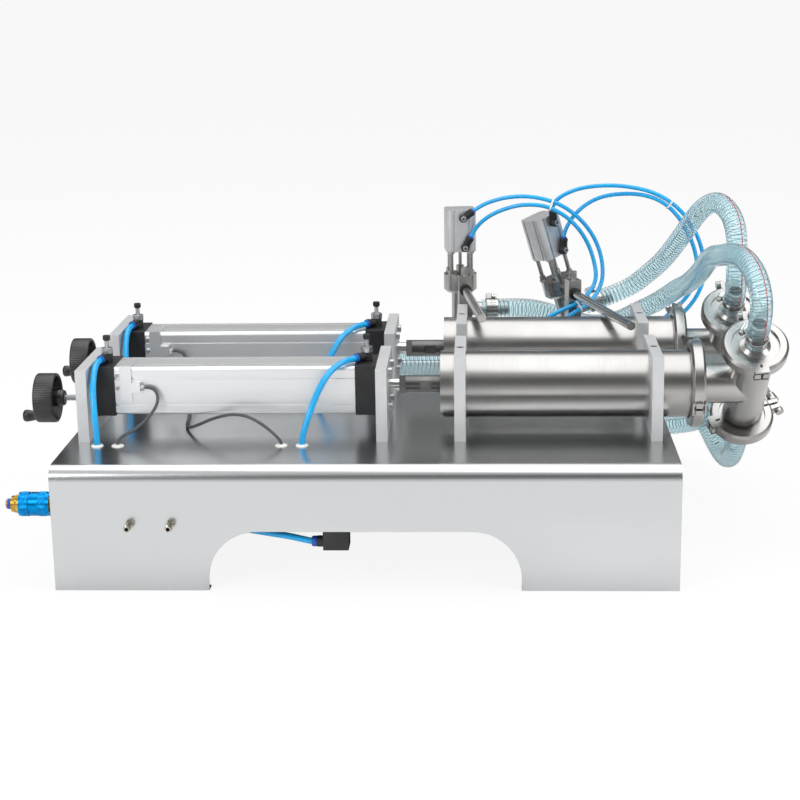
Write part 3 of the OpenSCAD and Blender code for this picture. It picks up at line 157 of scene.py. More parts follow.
# %% [markdown]
# A tube is a ring of points carried along its line, with faces between each ring and the next.
# The radius may change along the tube and round it, which gives a hose its faint ribs.
# %% Tubes as meshes
def new_piece(name, points, faces, body, material, slot, smooth=True):
    """Makes a painted mesh piece from points in millimetres. It rides on a body if one is given."""
    mesh = bpy.data.meshes.new(name)
    mesh.from_pydata([tuple(p) for p in in_frame(points)], [], faces)
    mesh.polygons.foreach_set("use_smooth", [smooth] * len(mesh.polygons))
    mesh.update()
    piece = bpy.data.objects.new(name, mesh)
    scene.collection.objects.link(piece)
    mesh.materials.append(material)
    if body:
        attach(piece, body)
    return piece


def rings(line, radius, sides, steering=None):
    """The points of a tube's skin, ring after ring. The radius is a number or a function."""
    across, over = steering or steer(line)
    angles = np.linspace(0, 2 * math.pi, sides, endpoint=False)
    far = distances(line)
    reach = radius(far[:, None], angles[None]) if callable(radius) else np.full((len(line), sides), radius)
    spokes = across[:, None] * np.cos(angles)[None, :, None] + over[:, None] * np.sin(angles)[None, :, None]
    return (line[:, None] + spokes * reach[..., None]).reshape(-1, 3)


def skin(count, sides, start=0, inward=False):
    """The faces between a tube's rings."""
    faces = []
    for ring in range(count - 1):
        for side in range(sides):
            a = start + ring * sides + side
            b = start + ring * sides + (side + 1) % sides
            face = (a, b, b + sides, a + sides)
            faces.append(face[::-1] if inward else face)
    return faces


def flat_ends(sides, last):
    """The two faces that shut a tube, whose last ring starts at point number last."""
    return [tuple(range(sides))[::-1], tuple(range(last, last + sides))]


def through(sides, last):
    """The faces from the last ring back to the first, round a hole."""
    return [(last + side, last + (side + 1) % sides, (side + 1) % sides, side) for side in range(sides)]


def tube(line, radius, sides, bore=None):
    """Points and faces of a tube. It is solid with flat ends, or open if it has a bore."""
    steering = steer(line)
    count = len(line)
    points = rings(line, radius, sides, steering)
    faces = skin(count, sides)
    last = (count - 1) * sides
    if bore is None:
        return points, faces + flat_ends(sides, last)
    inner = count * sides
    points = np.vstack([points, rings(line, bore, sides, steering)])
    faces += skin(count, sides, inner, inward=True)
    for side in range(sides):
        after = (side + 1) % sides
        faces.append((after, side, inner + side, inner + after))
        faces.append((last + side, last + after, inner + last + after, inner + last + side))
    return points, faces


def joined(*shapes):
    """Several shapes of points and faces as one."""
    points, faces = [], []
    for more_points, more_faces in shapes:
        start = sum(len(p) for p in points)
        points.append(np.asarray(more_points, float))
        faces += [tuple(index + start for index in face) for face in more_faces]
    return np.vstack(points), faces


print("tube helpers ready")

# %% [markdown]
# # Routes
# The lines that the hoses, tubes and cables follow, as in the CAD source. The inlet hoses leave
# the tees, drop behind the machine and lie along it.
# %% Routes
REAR_TUBE_ROUTE = [
    (-342.1, -116.6, 251.5), (-343.7, -122.4, 251.5), (-345, -128, 251.2), (-346, -135, 250.2),
    (-346.4, -143, 248), (-346.4, -156, 241), (-345.6, -168, 229), (-344, -178, 213), (-342, -185, 195),
    (-340.5, -188, 177), (-340, -188.5, 164), (-340, -188.5, 156), (-340, -188.5, 149),
    (-337.5, -188.5, 139.5), (-330, -188.5, 132.5), (-318, -188.5, 130.5), (-290, -188.5, 130.5),
    (-249, -188.5, 130.5), (-241, -188.5, 130.5),
]
FRONT_TUBE_ROUTE = [
    (-12, -113.9, 251.5), (-16.1, -118.4, 251.5), (-24, -127, 251.3), (-34, -137.5, 249.8),
    (-46, -149, 243), (-56, -160, 231), (-65, -171, 214), (-72, -180, 196), (-78, -186, 178),
    (-81.6, -188.4, 164), (-82, -188.5, 156), (-82, -188.5, 149), (-84.5, -188.5, 139.5),
    (-92, -188.5, 132.5), (-104, -188.5, 130.5), (-140, -188.5, 130.5), (-173, -188.5, 130.5),
    (-181, -188.5, 130.5),
]
SUPPLY_TUBE_ROUTE = [
    (-376, -235, 95), (-366, -235, 95), (-350, -235, 94.8), (-320, -237, 93), (-280, -242, 88),
    (-240, -248, 82), (-195, -254, 76), (-150, -260, 71), (-115, -265.5, 67), (-92, -268, 64),
    (-76, -268.5, 60.5), (-66, -268.5, 58.4), (-58, -268.5, 58), (-50.3, -268.5, 58),
]
NEAR_CABLE_ROUTE = [
    (-285.8, -140, 219.3), (-280, -140, 219.2), (-273, -141, 216), (-269, -144, 208), (-270, -149, 199),
    (-276, -156, 189), (-285, -165, 180), (-295, -174, 173), (-304, -181.5, 169.5), (-310, -186.3, 166),
    (-313.3, -188.3, 161.5), (-314, -188.5, 156.5), (-314, -188.5, 151.5), (-312.5, -188.5, 147.3),
    (-308, -188.5, 144.8), (-300, -188.5, 144.5), (-270, -188.5, 144.5), (-241, -188.5, 144.5),
]
FAR_CABLE_ROUTE = [
    (-285.8, 70, 219.3), (-280, 70, 219.2), (-272, 69, 216), (-267, 66, 207), (-265, 61, 193),
    (-264, 53, 178), (-262, 40, 165.5), (-258, 22, 159.4), (-252, -6, 158.3), (-247, -40, 158.3),
    (-243, -80, 158.3), (-240, -104, 158.8), (-232, -122, 162), (-218, -137, 170), (-200, -149, 180),
    (-182, -158, 187), (-166, -165, 190), (-150, -172, 188.5), (-136, -178, 183), (-123, -183.5, 175),
    (-113, -187.3, 166.5), (-108.7, -188.4, 161), (-108, -188.5, 156.5), (-108, -188.5, 151.5),
    (-109.5, -188.5, 147.3), (-114, -188.5, 144.8), (-122, -188.5, 144.5), (-150, -188.5, 144.5),
    (-181, -188.5, 144.5),
]
HEAD_1_UPPER_ROUTE = [
    (123.7, 273.4, 375.7), (129.4, 274.1, 379.7), (135.1, 274.7, 383.7), (150, 273, 392),
    (175, 268, 400), (205, 262, 403), (235, 257, 399), (262, 256, 388), (287, 258, 368),
    (306, 260, 342), (317, 257, 312), (318, 249, 283), (308, 236, 262), (292, 222, 249),
    (272, 213, 238), (250, 208, 222), (234, 205.5, 200), (226, 205, 178), (225, 205, 164),
    (225, 205, 156), (225, 205, 148), (225, 205, 140.5),
]
HEAD_1_LOWER_ROUTE = [
    (122.7, 273.3, 334.8), (125.9, 273.6, 341), (129.2, 274, 347.2), (138, 273, 360), (153, 269, 373),
    (175, 264, 384), (202, 258, 391), (232, 253, 390), (258, 251, 379), (280, 252, 360),
    (296, 254, 336), (306, 252, 308), (308, 243, 284), (297, 231, 265), (279, 220, 252.5),
    (255, 212, 243), (230, 207, 229), (212, 205, 206), (205.6, 205, 182), (205, 205, 164),
    (205, 205, 156), (205, 205, 148), (205, 205, 140.5),
]
HEAD_2_UPPER_ROUTE = [
    (247.1, 269.7, 372.9), (246.2, 269.9, 379.8), (246.5, 270.3, 387), (253, 271.5, 397),
    (268, 273, 406), (290, 274, 413), (318, 274, 416), (350, 272, 415), (385, 269, 408),
    (414, 266, 394), (438, 261, 372), (455, 255, 344), (464, 247, 312), (463, 239, 282),
    (451, 231, 256), (430, 224, 233), (402, 216, 212), (372, 209, 193), (350, 205.5, 176),
    (341, 205, 164), (340, 205, 156), (340, 205, 148), (340, 205, 140.5),
]
HEAD_2_LOWER_ROUTE = [
    (262.8, 275.9, 331.3), (263.1, 277.1, 338.2), (263.7, 278.2, 345.1), (269, 280, 358),
    (280, 281, 374), (296, 281, 388), (316, 280, 398), (342, 277, 403), (374, 272, 402.5),
    (403, 267, 393), (426, 262, 373), (443, 255, 346), (453, 247, 315), (453, 239, 287),
    (440, 230, 261), (416, 222, 238), (387, 213.5, 218), (354, 207.5, 196), (327, 205, 177),
    (320.4, 205, 164), (320, 205, 156), (320, 205, 148), (320, 205, 140.5),
]
NEAR_OUTLET_ROUTE = [
    (480, -158, 276.7), (480, -170.6, 291.6), (480, -184.1, 307.7), (480, -193, 323), (479, -194, 341),
    (476, -182, 359), (471, -160, 372), (464, -128, 379), (457, -90, 377), (451, -45, 367.5),
    (443, 5, 355.5), (435, 64, 323.5), (427, 124, 298.5), (420, 165, 285), (410, 200, 269),
    (395, 228, 252), (373, 253, 235), (346, 278, 216), (317, 303, 204.5), (290, 324, 203.5),
    (265, 332, 210), (240, 329.5, 218.5), (218, 320.5, 225), (200, 312.5, 228), (182.8, 308.6, 228.8),
    (162, 306, 229), (142.1, 303.7, 229),
]
FAR_OUTLET_ROUTE = [
    (480, 52, 276.7), (480, 39.4, 291.6), (480, 25.9, 307.7), (479, 16, 325), (478, 12, 345),
    (478, 14, 367), (477, 26, 390), (472, 50, 408), (462, 87, 416), (452, 128, 407), (442, 170, 386),
    (431, 210, 357), (419, 246, 328), (405, 280, 301), (388, 306, 279), (371, 319, 262),
    (354, 323, 251.5), (336.2, 320.2, 245), (316.8, 314.8, 239.1), (298.3, 309.6, 233.4),
]
NEAR_INLET_ROUTE = [
    (480, -52, 150.3), (480, -39.4, 135.3), (480, -26.4, 119.9), (480, -8, 100.5), (480, 19, 81.5),
    (478.5, 50, 69.5), (475, 83, 68.5), (469, 114, 77.5), (460.5, 142, 94), (449, 166.5, 113),
    (434, 188.5, 132.5), (414.5, 209, 152.5), (390.5, 227.5, 168.5), (362, 242.5, 174),
    (330.5, 253.5, 173.5), (298, 260, 171), (265, 262, 170.3), (231.5, 262, 170.3), (198, 262, 170.3),
    (165, 262, 170.3), (132, 262, 170.3),
] + [(x, 262, 170.3) for x in range(90, -341, -43)]
FAR_INLET_ROUTE = [
    (480, 158, 150.3), (480, 170.6, 135.3), (480, 183.6, 119.9), (480, 194.5, 108), (476, 215, 89.5),
    (467.5, 237, 74.5), (453.5, 258, 63.5), (435, 277, 55), (412.5, 292.5, 48.5), (387.5, 303, 42.5),
    (361, 309, 36.5), (333.5, 310.5, 30.5), (306.5, 309, 25), (279, 306.5, 20), (251.5, 303.5, 16.5),
    (223.5, 301.5, 14.7), (196, 301, 14.3), (168, 301, 14.3),
] + [(x, 301, 14.3) for x in range(140, -301, -40)]

# %% [markdown]
# # Finishes
# A finish is built from three things: a colour, a shine and a small relief. Colours are written
# as the hex values that a paint chart or a picture gives, and turned to the linear numbers that
# the shader wants. One function adds a node, sets it and links what it gets.
# %% Finish helpers
def linear(colour):
    """Turns a hex colour into linear red, green, blue and full cover."""
    parts = [int(colour[i:i + 2], 16) / 255 for i in (1, 3, 5)]
    return [v / 12.92 if v <= 0.04045 else ((v + 0.055) / 1.055) ** 2.4 for v in parts] + [1.0]


def add(tree, kind, inputs=None, **settings):
    """Adds a node with its settings. An input is linked if it is a socket, or else it is set."""
    node = tree.nodes.new("ShaderNode" + kind)
    for key, value in settings.items():
        setattr(node, key, value)
    for key, value in (inputs or {}).items():
        if isinstance(value, bpy.types.NodeSocket):
            tree.links.new(value, node.inputs[key])
        else:
            node.inputs[key].default_value = value
    return node


def bare_tree(owner):
    """The node tree of a material or a world, with nothing in it yet."""
    owner.use_nodes = True
    owner.node_tree.nodes.clear()
    return owner.node_tree


def pattern(tree, size, detail=2.0, shift=0.0):
    """Cloudy noise. Its marks are as long as size says, one number or three, in millimetres."""
    place = add(tree, "TexCoord").outputs["Object"]
    scaled = add(tree, "VectorMath", {0: place, 1: 1000 / (np.ones(3) * size)}, operation="MULTIPLY")
    moved = add(tree, "VectorMath", {0: scaled.outputs[0], 1: (shift, shift, shift)}, operation="ADD")
    return add(tree, "TexNoise", {"Vector": moved.outputs[0], "Scale": 1.0, "Detail": detail}).outputs[0]


def spread(tree, value, low, high, start=0.3, end=0.7):
    """Stretches a noise value to a range."""
    limits = {0: value, 1: start, 2: end, 3: low, 4: high}
    return add(tree, "MapRange", limits, clamp=True).outputs[0]


def blend_colours(tree, factor, first, second):
    return add(tree, "Mix", {0: factor, 6: first, 7: second}, data_type="RGBA").outputs[2]


CLOUD_SHARE = 0.7


def finish(name, colour, second, shine, grain, cloud, relief, metal=0.0, ior=1.5, worn=None, edge=0.4,
           more=None):
    """A finish with fine grain, larger clouds, and edges that are softly rounded and can be worn.

    shine is the lowest and highest roughness, grain and cloud are sizes in millimetres,
    relief is the depth of the grain, and edge the radius of an edge, both in millimetres."""
    material = bpy.data.materials.new(name)
    tree = bare_tree(material)
    fine = pattern(tree, grain, 3.0)
    large = pattern(tree, cloud, 2.0, 7.3)
    clouds = add(tree, "Math", {0: large, 1: CLOUD_SHARE}, operation="MULTIPLY").outputs[0]
    both = add(tree, "Math", {0: fine, 1: large, 2: clouds}, operation="MULTIPLY_ADD")
    share = spread(tree, both.outputs[0], 0, 1, 0.35, 0.65)
    tint = blend_colours(tree, share, linear(colour), linear(second))
    rounded = add(tree, "Bevel", {"Radius": edge / 1000}, samples=4)
    if worn:
        flat = add(tree, "NewGeometry").outputs["Normal"]
        facing = add(tree, "VectorMath", {0: rounded.outputs[0], 1: flat}, operation="DOT_PRODUCT")
        rubbed = spread(tree, facing.outputs["Value"], 0.85, 0.0, 0.86, 0.99)
        patchy = add(tree, "Math", {0: rubbed, 1: spread(tree, large, 0.2, 1)}, operation="MULTIPLY")
        tint = blend_colours(tree, patchy.outputs[0], tint, linear(worn))
    bump = add(tree, "Bump", {"Height": fine, "Distance": relief / 1000, "Strength": 1.0,
                              "Normal": rounded.outputs[0]})
    inputs = {"Base Color": tint, "Metallic": metal, "Roughness": spread(tree, both.outputs[0], *shine),
              "Normal": bump.outputs[0]}
    if not metal:
        inputs["IOR"] = ior
    inputs.update(more or {})
    shader = add(tree, "BsdfPrincipled", inputs)
    add(tree, "OutputMaterial", {0: shader.outputs[0]})
    return material


print("white is", linear("#FFFFFF")[0])

# %% [markdown]
# The base is stainless sheet, rolled and then brushed along its length. Rolled sheet keeps a
# faint mirror under its brushing, so its roughness is low across the grain and its marks are
# long along X and very thin across it. They are drawn 0.6 mm wide so that they show.
# %% Stainless steel
stainless_sheet = finish(
    "Brushed_stainless_sheet", "#CDCECF", "#C6C8C9", (0.2, 0.24), (160, 0.6, 0.6), (500, 200, 200),
    0.0012, metal=1, edge=0.6)
# The filling tubes are drawn stainless tube, turned and polished round their axis, so the fine
# marks run round them: thin along X and long across it.
polished_tube = finish(
    "Polished_stainless_tube", "#ADACAA", "#A5A4A2", (0.2, 0.26), (0.7, 60, 60), 90, 0.0008, metal=1,
    edge=0.3)
# Ferrules, tees and clamps are cast and machined stainless, tumbled to an even satin.
satin_steel = finish(
    "Satin_stainless_castings", "#B2B0AE", "#ABA9A7", (0.22, 0.27), 1.2, 60, 0.0015, metal=1, edge=0.5)
# Rods are ground and hard chromed, the smoothest surface here.
ground_rod = finish(
    "Ground_chromed_rod", "#C6C6C5", "#BDBDBC", (0.12, 0.18), (0.6, 9, 9), 60, 0.0004, metal=1, edge=0.3)
# Screws are plated steel with a slightly dull skin.
screw_steel = finish(
    "Zinc_plated_screws", "#C4C5C6", "#A6A7A9", (0.25, 0.4), 0.9, 5, 0.01, metal=1, edge=0.3)
# The couplings and filling pistons are turned steel, darker than the rods.
turned_steel = finish(
    "Turned_steel_coupling", "#6E6E6D", "#646463", (0.28, 0.38), (0.8, 12, 12), 30, 0.002, metal=1)
# The nipples are nickel plated, and the slide valve's body is bare brass.
nickel = finish(
    "Nickel_plated_brass", "#CDC9BE", "#B8B3A6", (0.15, 0.28), 0.8, 8, 0.006, metal=1, edge=0.3)
brass = finish(
    "Turned_brass", "#D9B65A", "#B58F3C", (0.2, 0.32), (0.6, 6, 6), 8, 0.006, metal=1, edge=0.3)
print("steel finishes ready")

# %% [markdown]
# The air cylinders' barrels are drawn aluminium with a clear anodised skin, almost white and
# matt, with draw lines along the barrel. The support plates are milled from bar and blasted, so
# they are a touch darker and grainier.
# %% Aluminium
barrel_aluminium = finish(
    "Clear_anodised_barrel", "#F3F4F4", "#EDEEEF", (0.34, 0.42), (220, 0.8, 0.8), (400, 60, 60), 0.0015,
    metal=1)
plate_aluminium = finish(
    "Blasted_aluminium_plate", "#DADBDC", "#D3D4D5", (0.42, 0.52), 0.7, 40, 0.012, metal=0.6,
    worn="#F0F0F0", edge=0.5)
blue_anodised = finish(
    "Blue_anodised_aluminium", "#0E8FD2", "#0B7CC0", (0.2, 0.3), (0.6, 8, 8), 10, 0.006, metal=1,
    worn="#5DB9E8")
head_aluminium = finish(
    "Machined_aluminium_head", "#DCDDDE", "#D2D3D5", (0.3, 0.4), (0.8, 0.8, 30), 30, 0.003, metal=0.75,
    edge=0.5)
print("aluminium finishes ready")

# %% [markdown]
# The cylinder caps are die-cast and painted black, with a little orange peel in the paint. The
# wheels are moulded phenolic plastic, glossy with rubbed edges. Rubber and cable sheath are dull.
# %% Paint, plastic and rubber
cap_paint = finish(
    "Black_painted_caps", "#242426", "#1C1C1E", (0.34, 0.5), 0.9, 25, 0.03, worn="#55555A", edge=0.6)
wheel_plastic = finish(
    "Moulded_phenolic_plastic", "#0D0D0F", "#09090A", (0.26, 0.38), 1.5, 20, 0.015, ior=1.6,
    worn="#2E2E31", edge=0.6)
fitting_plastic = finish(
    "Glass_filled_nylon", "#1E1F22", "#17181A", (0.35, 0.5), 0.5, 9, 0.02, ior=1.53, worn="#3C3D40")
pad_rubber = finish("Nitrile_rubber", "#202020", "#2A2A2A", (0.6, 0.75), 0.8, 10, 0.03, ior=1.52)
white_plastic = finish(
    "White_nylon", "#EDEDEA", "#E2E2DE", (0.35, 0.5), 0.8, 9, 0.015, ior=1.53,
    more={"Subsurface Weight": 0.1, "Subsurface Scale": 0.002})
cable_sheath = finish("Grey_cable_sheath", "#55585C", "#484A4E", (0.45, 0.6), 0.8, 20, 0.02, ior=1.52)
blue_tube = finish("Blue_polyurethane_tube", "#22B0EE", "#1CA6E6", (0.16, 0.24), 3, 40, 0.002, edge=0.2)
blue_collet = finish(
    "Blue_acetal_collet", "#1F5FC4", "#184FA8", (0.3, 0.42), 0.8, 8, 0.01, ior=1.48, edge=0.3)
tracer_red = finish("Red_tracer_line", "#D02430", "#B81E2A", (0.3, 0.4), 2, 9, 0.004, ior=1.53)
print("plastic finishes ready")

# %% [markdown]
# The liquid hoses are soft clear PVC with a spring of steel wire in the wall. In the photograph
# they are pale blue, and what lies behind them is hardly shifted. So the wall bends light far
# less than real PVC does, IOR 1.06 and not 1.53, and a thin coat gives it the gloss back. A tenth
# of it is pale and diffuse. The wire is blue grey, as steel looks through such a wall.
# %% Clear hose
clear_pvc = finish(
    "Clear_PVC_hose", "#EFFBFD", "#E9F9FC", (0.02, 0.04), 6, 30, 0.001, ior=1.06, edge=0.2,
    more={"Transmission Weight": 0.9, "Coat Weight": 0.3, "Coat Roughness": 0.05})
spring_wire = finish(
    "Hose_spring_wire", "#6C99A7", "#628F9D", (0.3, 0.4), 2, 9, 0.004, metal=0.5, edge=0.1)
print("hose finishes ready")

# %% [markdown]
# # Hoses
# A spiral hose is a clear wall, 28 mm outside and 22 mm inside, around a spring of 1 mm wire
# with a turn every 6 mm. The wall bulges a little over each turn. The two inlet hoses are free
# cords that lie on the deck and on the bench behind the base. The outlet hoses end at the
# heads.
# %% Hoses
HOSE_RADIUS = 14
HOSE_BORE = 11
SPRING_RADIUS = 12.6
SPRING_WIRE = 0.5
SPRING_PITCH = 6.0
STRIPE_RADIUS = 13.25
STRIPE_WIRE = 0.7
RIB_HEIGHT = 0.15
LINE_STEP = 1.2
LINE_SOFTENING = 6
SPRING_STEPS = 14
OUTLET_STRIPE = -2.7


def rib(far, angle):
    """The wall's radius: it bulges where the spring is."""
    return HOSE_RADIUS - RIB_HEIGHT * (1 - np.cos(2 * math.pi * far / SPRING_PITCH - angle)) / 2


def hose(name, route, head=None, stripe_turn=0.6):
    """A hose's wall, spring and red line: a free cord that rides on the frame, or one at a head, which
    rides on nothing.
    """
    line = smooth_line(route, LINE_STEP, LINE_SOFTENING)
    wall = new_piece(name + "_wall", *tube(line, rib, 20, HOSE_BORE), None, clear_pvc, "clear_hose")
    across, over = steer(line)
    far = distances(line)
    stations = np.arange(SPRING_PITCH, far[-1] - SPRING_PITCH, SPRING_PITCH / SPRING_STEPS)
    angles = 2 * math.pi * stations / SPRING_PITCH

    def along(values):
        return np.array([np.interp(stations, far, values[:, axis]) for axis in range(3)]).T

    spring_line = along(line) + SPRING_RADIUS * (
        along(across) * np.cos(angles)[:, None] + along(over) * np.sin(angles)[:, None])
    spring = new_piece(name + "_spring", *tube(spring_line, SPRING_WIRE, 5), None, spring_wire,
                       "polished_stainless")
    outward = across * math.cos(stripe_turn) + over * math.sin(stripe_turn)
    stripe_line = even(line + STRIPE_RADIUS * outward, 5)[1:-1]
    stripe = new_piece(name + "_stripe", *tube(stripe_line, STRIPE_WIRE, 6), None, tracer_red,
                       "clear_hose")
    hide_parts(name)
    for piece in (wall, spring, stripe):
        if head:
            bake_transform(piece)
        else:
            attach(piece, "frame")
    print(name, round(length_of(line)), "mm,", len(wall.data.polygons), "faces")


hose("near_inlet_hose", NEAR_INLET_ROUTE)
hose("far_inlet_hose", FAR_INLET_ROUTE)
hose("near_outlet_hose", NEAR_OUTLET_ROUTE, "head_1", OUTLET_STRIPE)
hose("far_outlet_hose", FAR_OUTLET_ROUTE, "head_2", OUTLET_STRIPE)

# %% [markdown]
# The air tubes are blue polyurethane, 8 mm to the cylinders and 6 mm to the heads. The tubes of
# a head run from the deck up to its cylinder. The sensor cables are thin and grey.
# %% Air tubes and cables
LANE_PITCH = 210
LANE_TUBE_RADIUS = 4
HEAD_TUBE_RADIUS = 3
CABLE_RADIUS = 2
# The routes of a head's tubes, where they start to bend with it, and where they move with it wholly
HEAD_TUBES = {
    "head_1": ((HEAD_1_UPPER_ROUTE, HEAD_1_LOWER_ROUTE), (225, 205, 250), (124, 273, 376)),
    "head_2": ((HEAD_2_UPPER_ROUTE, HEAD_2_LOWER_ROUTE), (340, 205, 230), (247, 270, 373)),
}


def moved(route, across):
    return [(x, y + across, z) for x, y, z in route]


lane_tubes = [(REAR_TUBE_ROUTE, 0), (FRONT_TUBE_ROUTE, 0), (REAR_TUBE_ROUTE, LANE_PITCH),
              (FRONT_TUBE_ROUTE, LANE_PITCH), (SUPPLY_TUBE_ROUTE, 0)]
lines = [smooth_line(moved(route, across), 2, 1) for route, across in lane_tubes]
shapes = [tube(line, LANE_TUBE_RADIUS, 20) for line in lines]
air_tubes = new_piece("lane_air_tubes", *joined(*shapes), "frame", blue_tube, "blue_tube")
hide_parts("main_air_tubes")
lines = [smooth_line(route, 1.5, 1) for route in (NEAR_CABLE_ROUTE, FAR_CABLE_ROUTE)]
shapes = [tube(line, CABLE_RADIUS, 14) for line in lines]
cables = new_piece("sensor_leads", *joined(*shapes), "frame", cable_sheath, "grey_cable")
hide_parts("sensor_cables")
for head, (routes, foot, top) in HEAD_TUBES.items():
    shapes = [tube(smooth_line(route, 2, 1.5), HEAD_TUBE_RADIUS, 18) for route in routes]
    pair = new_piece(head + "_tube_pair", *joined(*shapes), None, blue_tube, "blue_tube")
    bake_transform(pair)
    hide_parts(head + "_air_tubes")
print("air tubes and cables laid")

# %% [markdown]
# # Fittings
# Most small parts are turned on a lathe: a profile that goes round an axis. Knurls and threads
# are the same shape with a radius that changes round the axis, so they are real geometry. Each
# shape is made at the origin along Z and then put in its place.
# %% Turned shapes
def turned(profile, sides=40, closed=False, knurl=None):
    """Turns a profile of (radius, height) points round Z. A closed profile makes a ring.

    knurl is (first row, last row, ridges, depth in millimetres)."""
    first, final, ridges, deep = knurl or (0, -1, 0, 0)
    sides = 4 * ridges or sides
    angles = np.linspace(0, 2 * math.pi, sides, endpoint=False)
    rows = []
    for row, (radius, height) in enumerate(profile):
        reach = np.full(sides, radius)
        if first <= row <= final:
            reach = radius - deep * (1 - np.cos(ridges * angles)) / 2
        ring = [reach * np.cos(angles), reach * np.sin(angles), np.full(sides, height)]
        rows.append(np.column_stack(ring))
    faces = skin(len(rows), sides)
    last = (len(rows) - 1) * sides
    return np.vstack(rows), faces + (through(sides, last) if closed else flat_ends(sides, last))


def nut(across, height, bore):
    """A hexagon nut with its corners turned off at both ends."""
    angles = np.linspace(0, 2 * math.pi, 24, endpoint=False)
    flat = across / 2 / np.cos((angles + math.pi / 6) % (math.pi / 3) - math.pi / 6)
    trim = (flat - across / 2) * 0.6
    round_end = np.full(24, across / 2 * 0.96)
    hole = np.full(24, bore / 2)
    rows = [(hole, np.zeros(24)), (round_end, np.zeros(24)), (flat, trim + 0.2),
            (flat, height - trim - 0.2), (round_end, np.full(24, height)), (hole, np.full(24, height))]
    points = [np.column_stack([r * np.cos(angles), r * np.sin(angles), z]) for r, z in rows]
    return np.vstack(points), skin(len(rows), 24) + through(24, (len(rows) - 1) * 24)


def thread(diameter, pitch, length):
    """A screw thread: the radius rises and falls once in each turn."""
    line = np.column_stack([np.zeros(2), np.zeros(2), (0, length)])
    deep = pitch * 0.28

    def radius(far, angle):
        share = np.abs(((far / pitch + angle / (2 * math.pi)) % 1) - 0.5) * 2
        return diameter / 2 - deep * np.clip(1.25 * share - 0.125, 0, 1)

    return tube(even(line, pitch / 6), radius, 20)


def axes(along, side=(1, 0, 0)):
    """Three rows, X, Y and Z, of a frame whose Z goes along a direction."""
    z = np.array(along, float) / np.linalg.norm(along)
    x = np.array(side, float)
    x = x - (x @ z) * z
    x /= np.linalg.norm(x)
    return np.array([x, np.cross(z, x), z])


def put(shape, origin, rows=None):
    """Moves a shape to its place."""
    points, faces = shape
    turned_points = points if rows is None else points @ rows
    return turned_points + np.array(origin, float), faces


print("a nut has", len(nut(13, 7, 6)[1]), "faces")

# %% [markdown]
# Each air cylinder has a speed controller on both caps. It is a black nylon elbow with a steel
# lock nut and a needle screw under a black knurled knob. The blue collar at the elbow's mouth is
# the collet that lets go of the tube when it is pressed.
# %% Speed controllers
LANES = {"near": -105, "far": 105}
CAP_TOP = 245.5
# The X and the direction of the mouth of each controller
CONTROLS = {"rear": (-339, -105), "front": (-4, -132)}
KNOB_FOOT = CAP_TOP + 18
COLLET = [(4.1, 0), (5.6, 0), (5.9, 0.5), (5.9, 1.5), (5.2, 3.0), (4.1, 3.0)]

nuts, collets, seams = [], [], []
for lane, across in LANES.items():
    for end, (x, angle) in CONTROLS.items():
        nuts.append(put(nut(13.6, 7.5, 6.4), (x, across, CAP_TOP + 10.9), axes((0, 0, 1), (0.9, 0.4, 0))))
        arm = (math.cos(math.radians(angle)), math.sin(math.radians(angle)), 0)
        mouth = np.array([x, across, CAP_TOP + 6]) + 18 * np.array(arm)
        collets.append(put(turned(COLLET, 28, closed=True), mouth, axes(arm, (0, 0, 1))))
        for rise in (1.2, 9.4):
            seams.append(put(turned([(6.6, 0), (7.3, 0.2), (7.3, 0.9), (6.6, 1.1)], 32, closed=True),
                             (x, across, CAP_TOP + rise)))
        stem = put(thread(5.9, 1.0, 11), (x, across, KNOB_FOOT - 0.5))
        body = lane + "_" + end + "_speed_knob"
        new_piece(body + "_stem", *stem, body, screw_steel, "nickel")
        grip = turned([(2.9, 9.6), (3.6, 9.6), (3.8, 10.3), (4.75, 10.6), (4.75, 15.6), (4.2, 16.3),
                       (2.0, 16.45)], knurl=(3, 4, 20, 0.45))
        knob = new_piece(body + "_grip", *put(grip, (x, across, KNOB_FOOT)), body, wheel_plastic, "nickel",
                         smooth=False)
        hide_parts(body)
new_piece("control_lock_nuts", *joined(*nuts), "frame", screw_steel, "nickel", smooth=False)
new_piece("control_collets", *joined(*collets), "frame", blue_collet, "blue_tube")
new_piece("control_seams", *joined(*seams), "frame", fitting_plastic, "fitting_plastic")
print(len(nuts), "speed controllers dressed")

# %% [markdown]
# The stroke is set with a dished handwheel on a threaded screw. The wheel is moulded in one
# piece: a rim with grip ridges, a web, and a hub. Its crank knob spins on a steel pin.
# %% Handwheels
WHEEL_X = -433
SCREW_Z = 197.5
WHEEL = [(4.0, 0), (9.0, 0), (10.5, 1.2), (26.0, 1.2), (28.0, 0.4), (30.6, 0), (31.6, 0.8), (32, 2.2),
         (32, 23.8), (31.6, 25.2), (30.2, 26), (28.9, 25.4), (28.2, 23.5), (27.6, 8), (25.5, 5.6),
         (13, 5.0), (11, 6.5), (11, 26), (10.2, 34), (9, 36), (4.0, 36)]
KNOB = [(3.1, 0.3), (5.6, 0.3), (6.6, 1.4), (6.1, 5), (7.2, 11), (8, 15.5), (7.6, 18.6), (5.6, 20.3),
        (3.1, 20.3)]
CRANK_ANGLES = {"near": -90, "far": -50}
CRANK_RADIUS = 24
to_right = axes((1, 0, 0), (0, 1, 0))
to_left = axes((-1, 0, 0), (0, 1, 0))
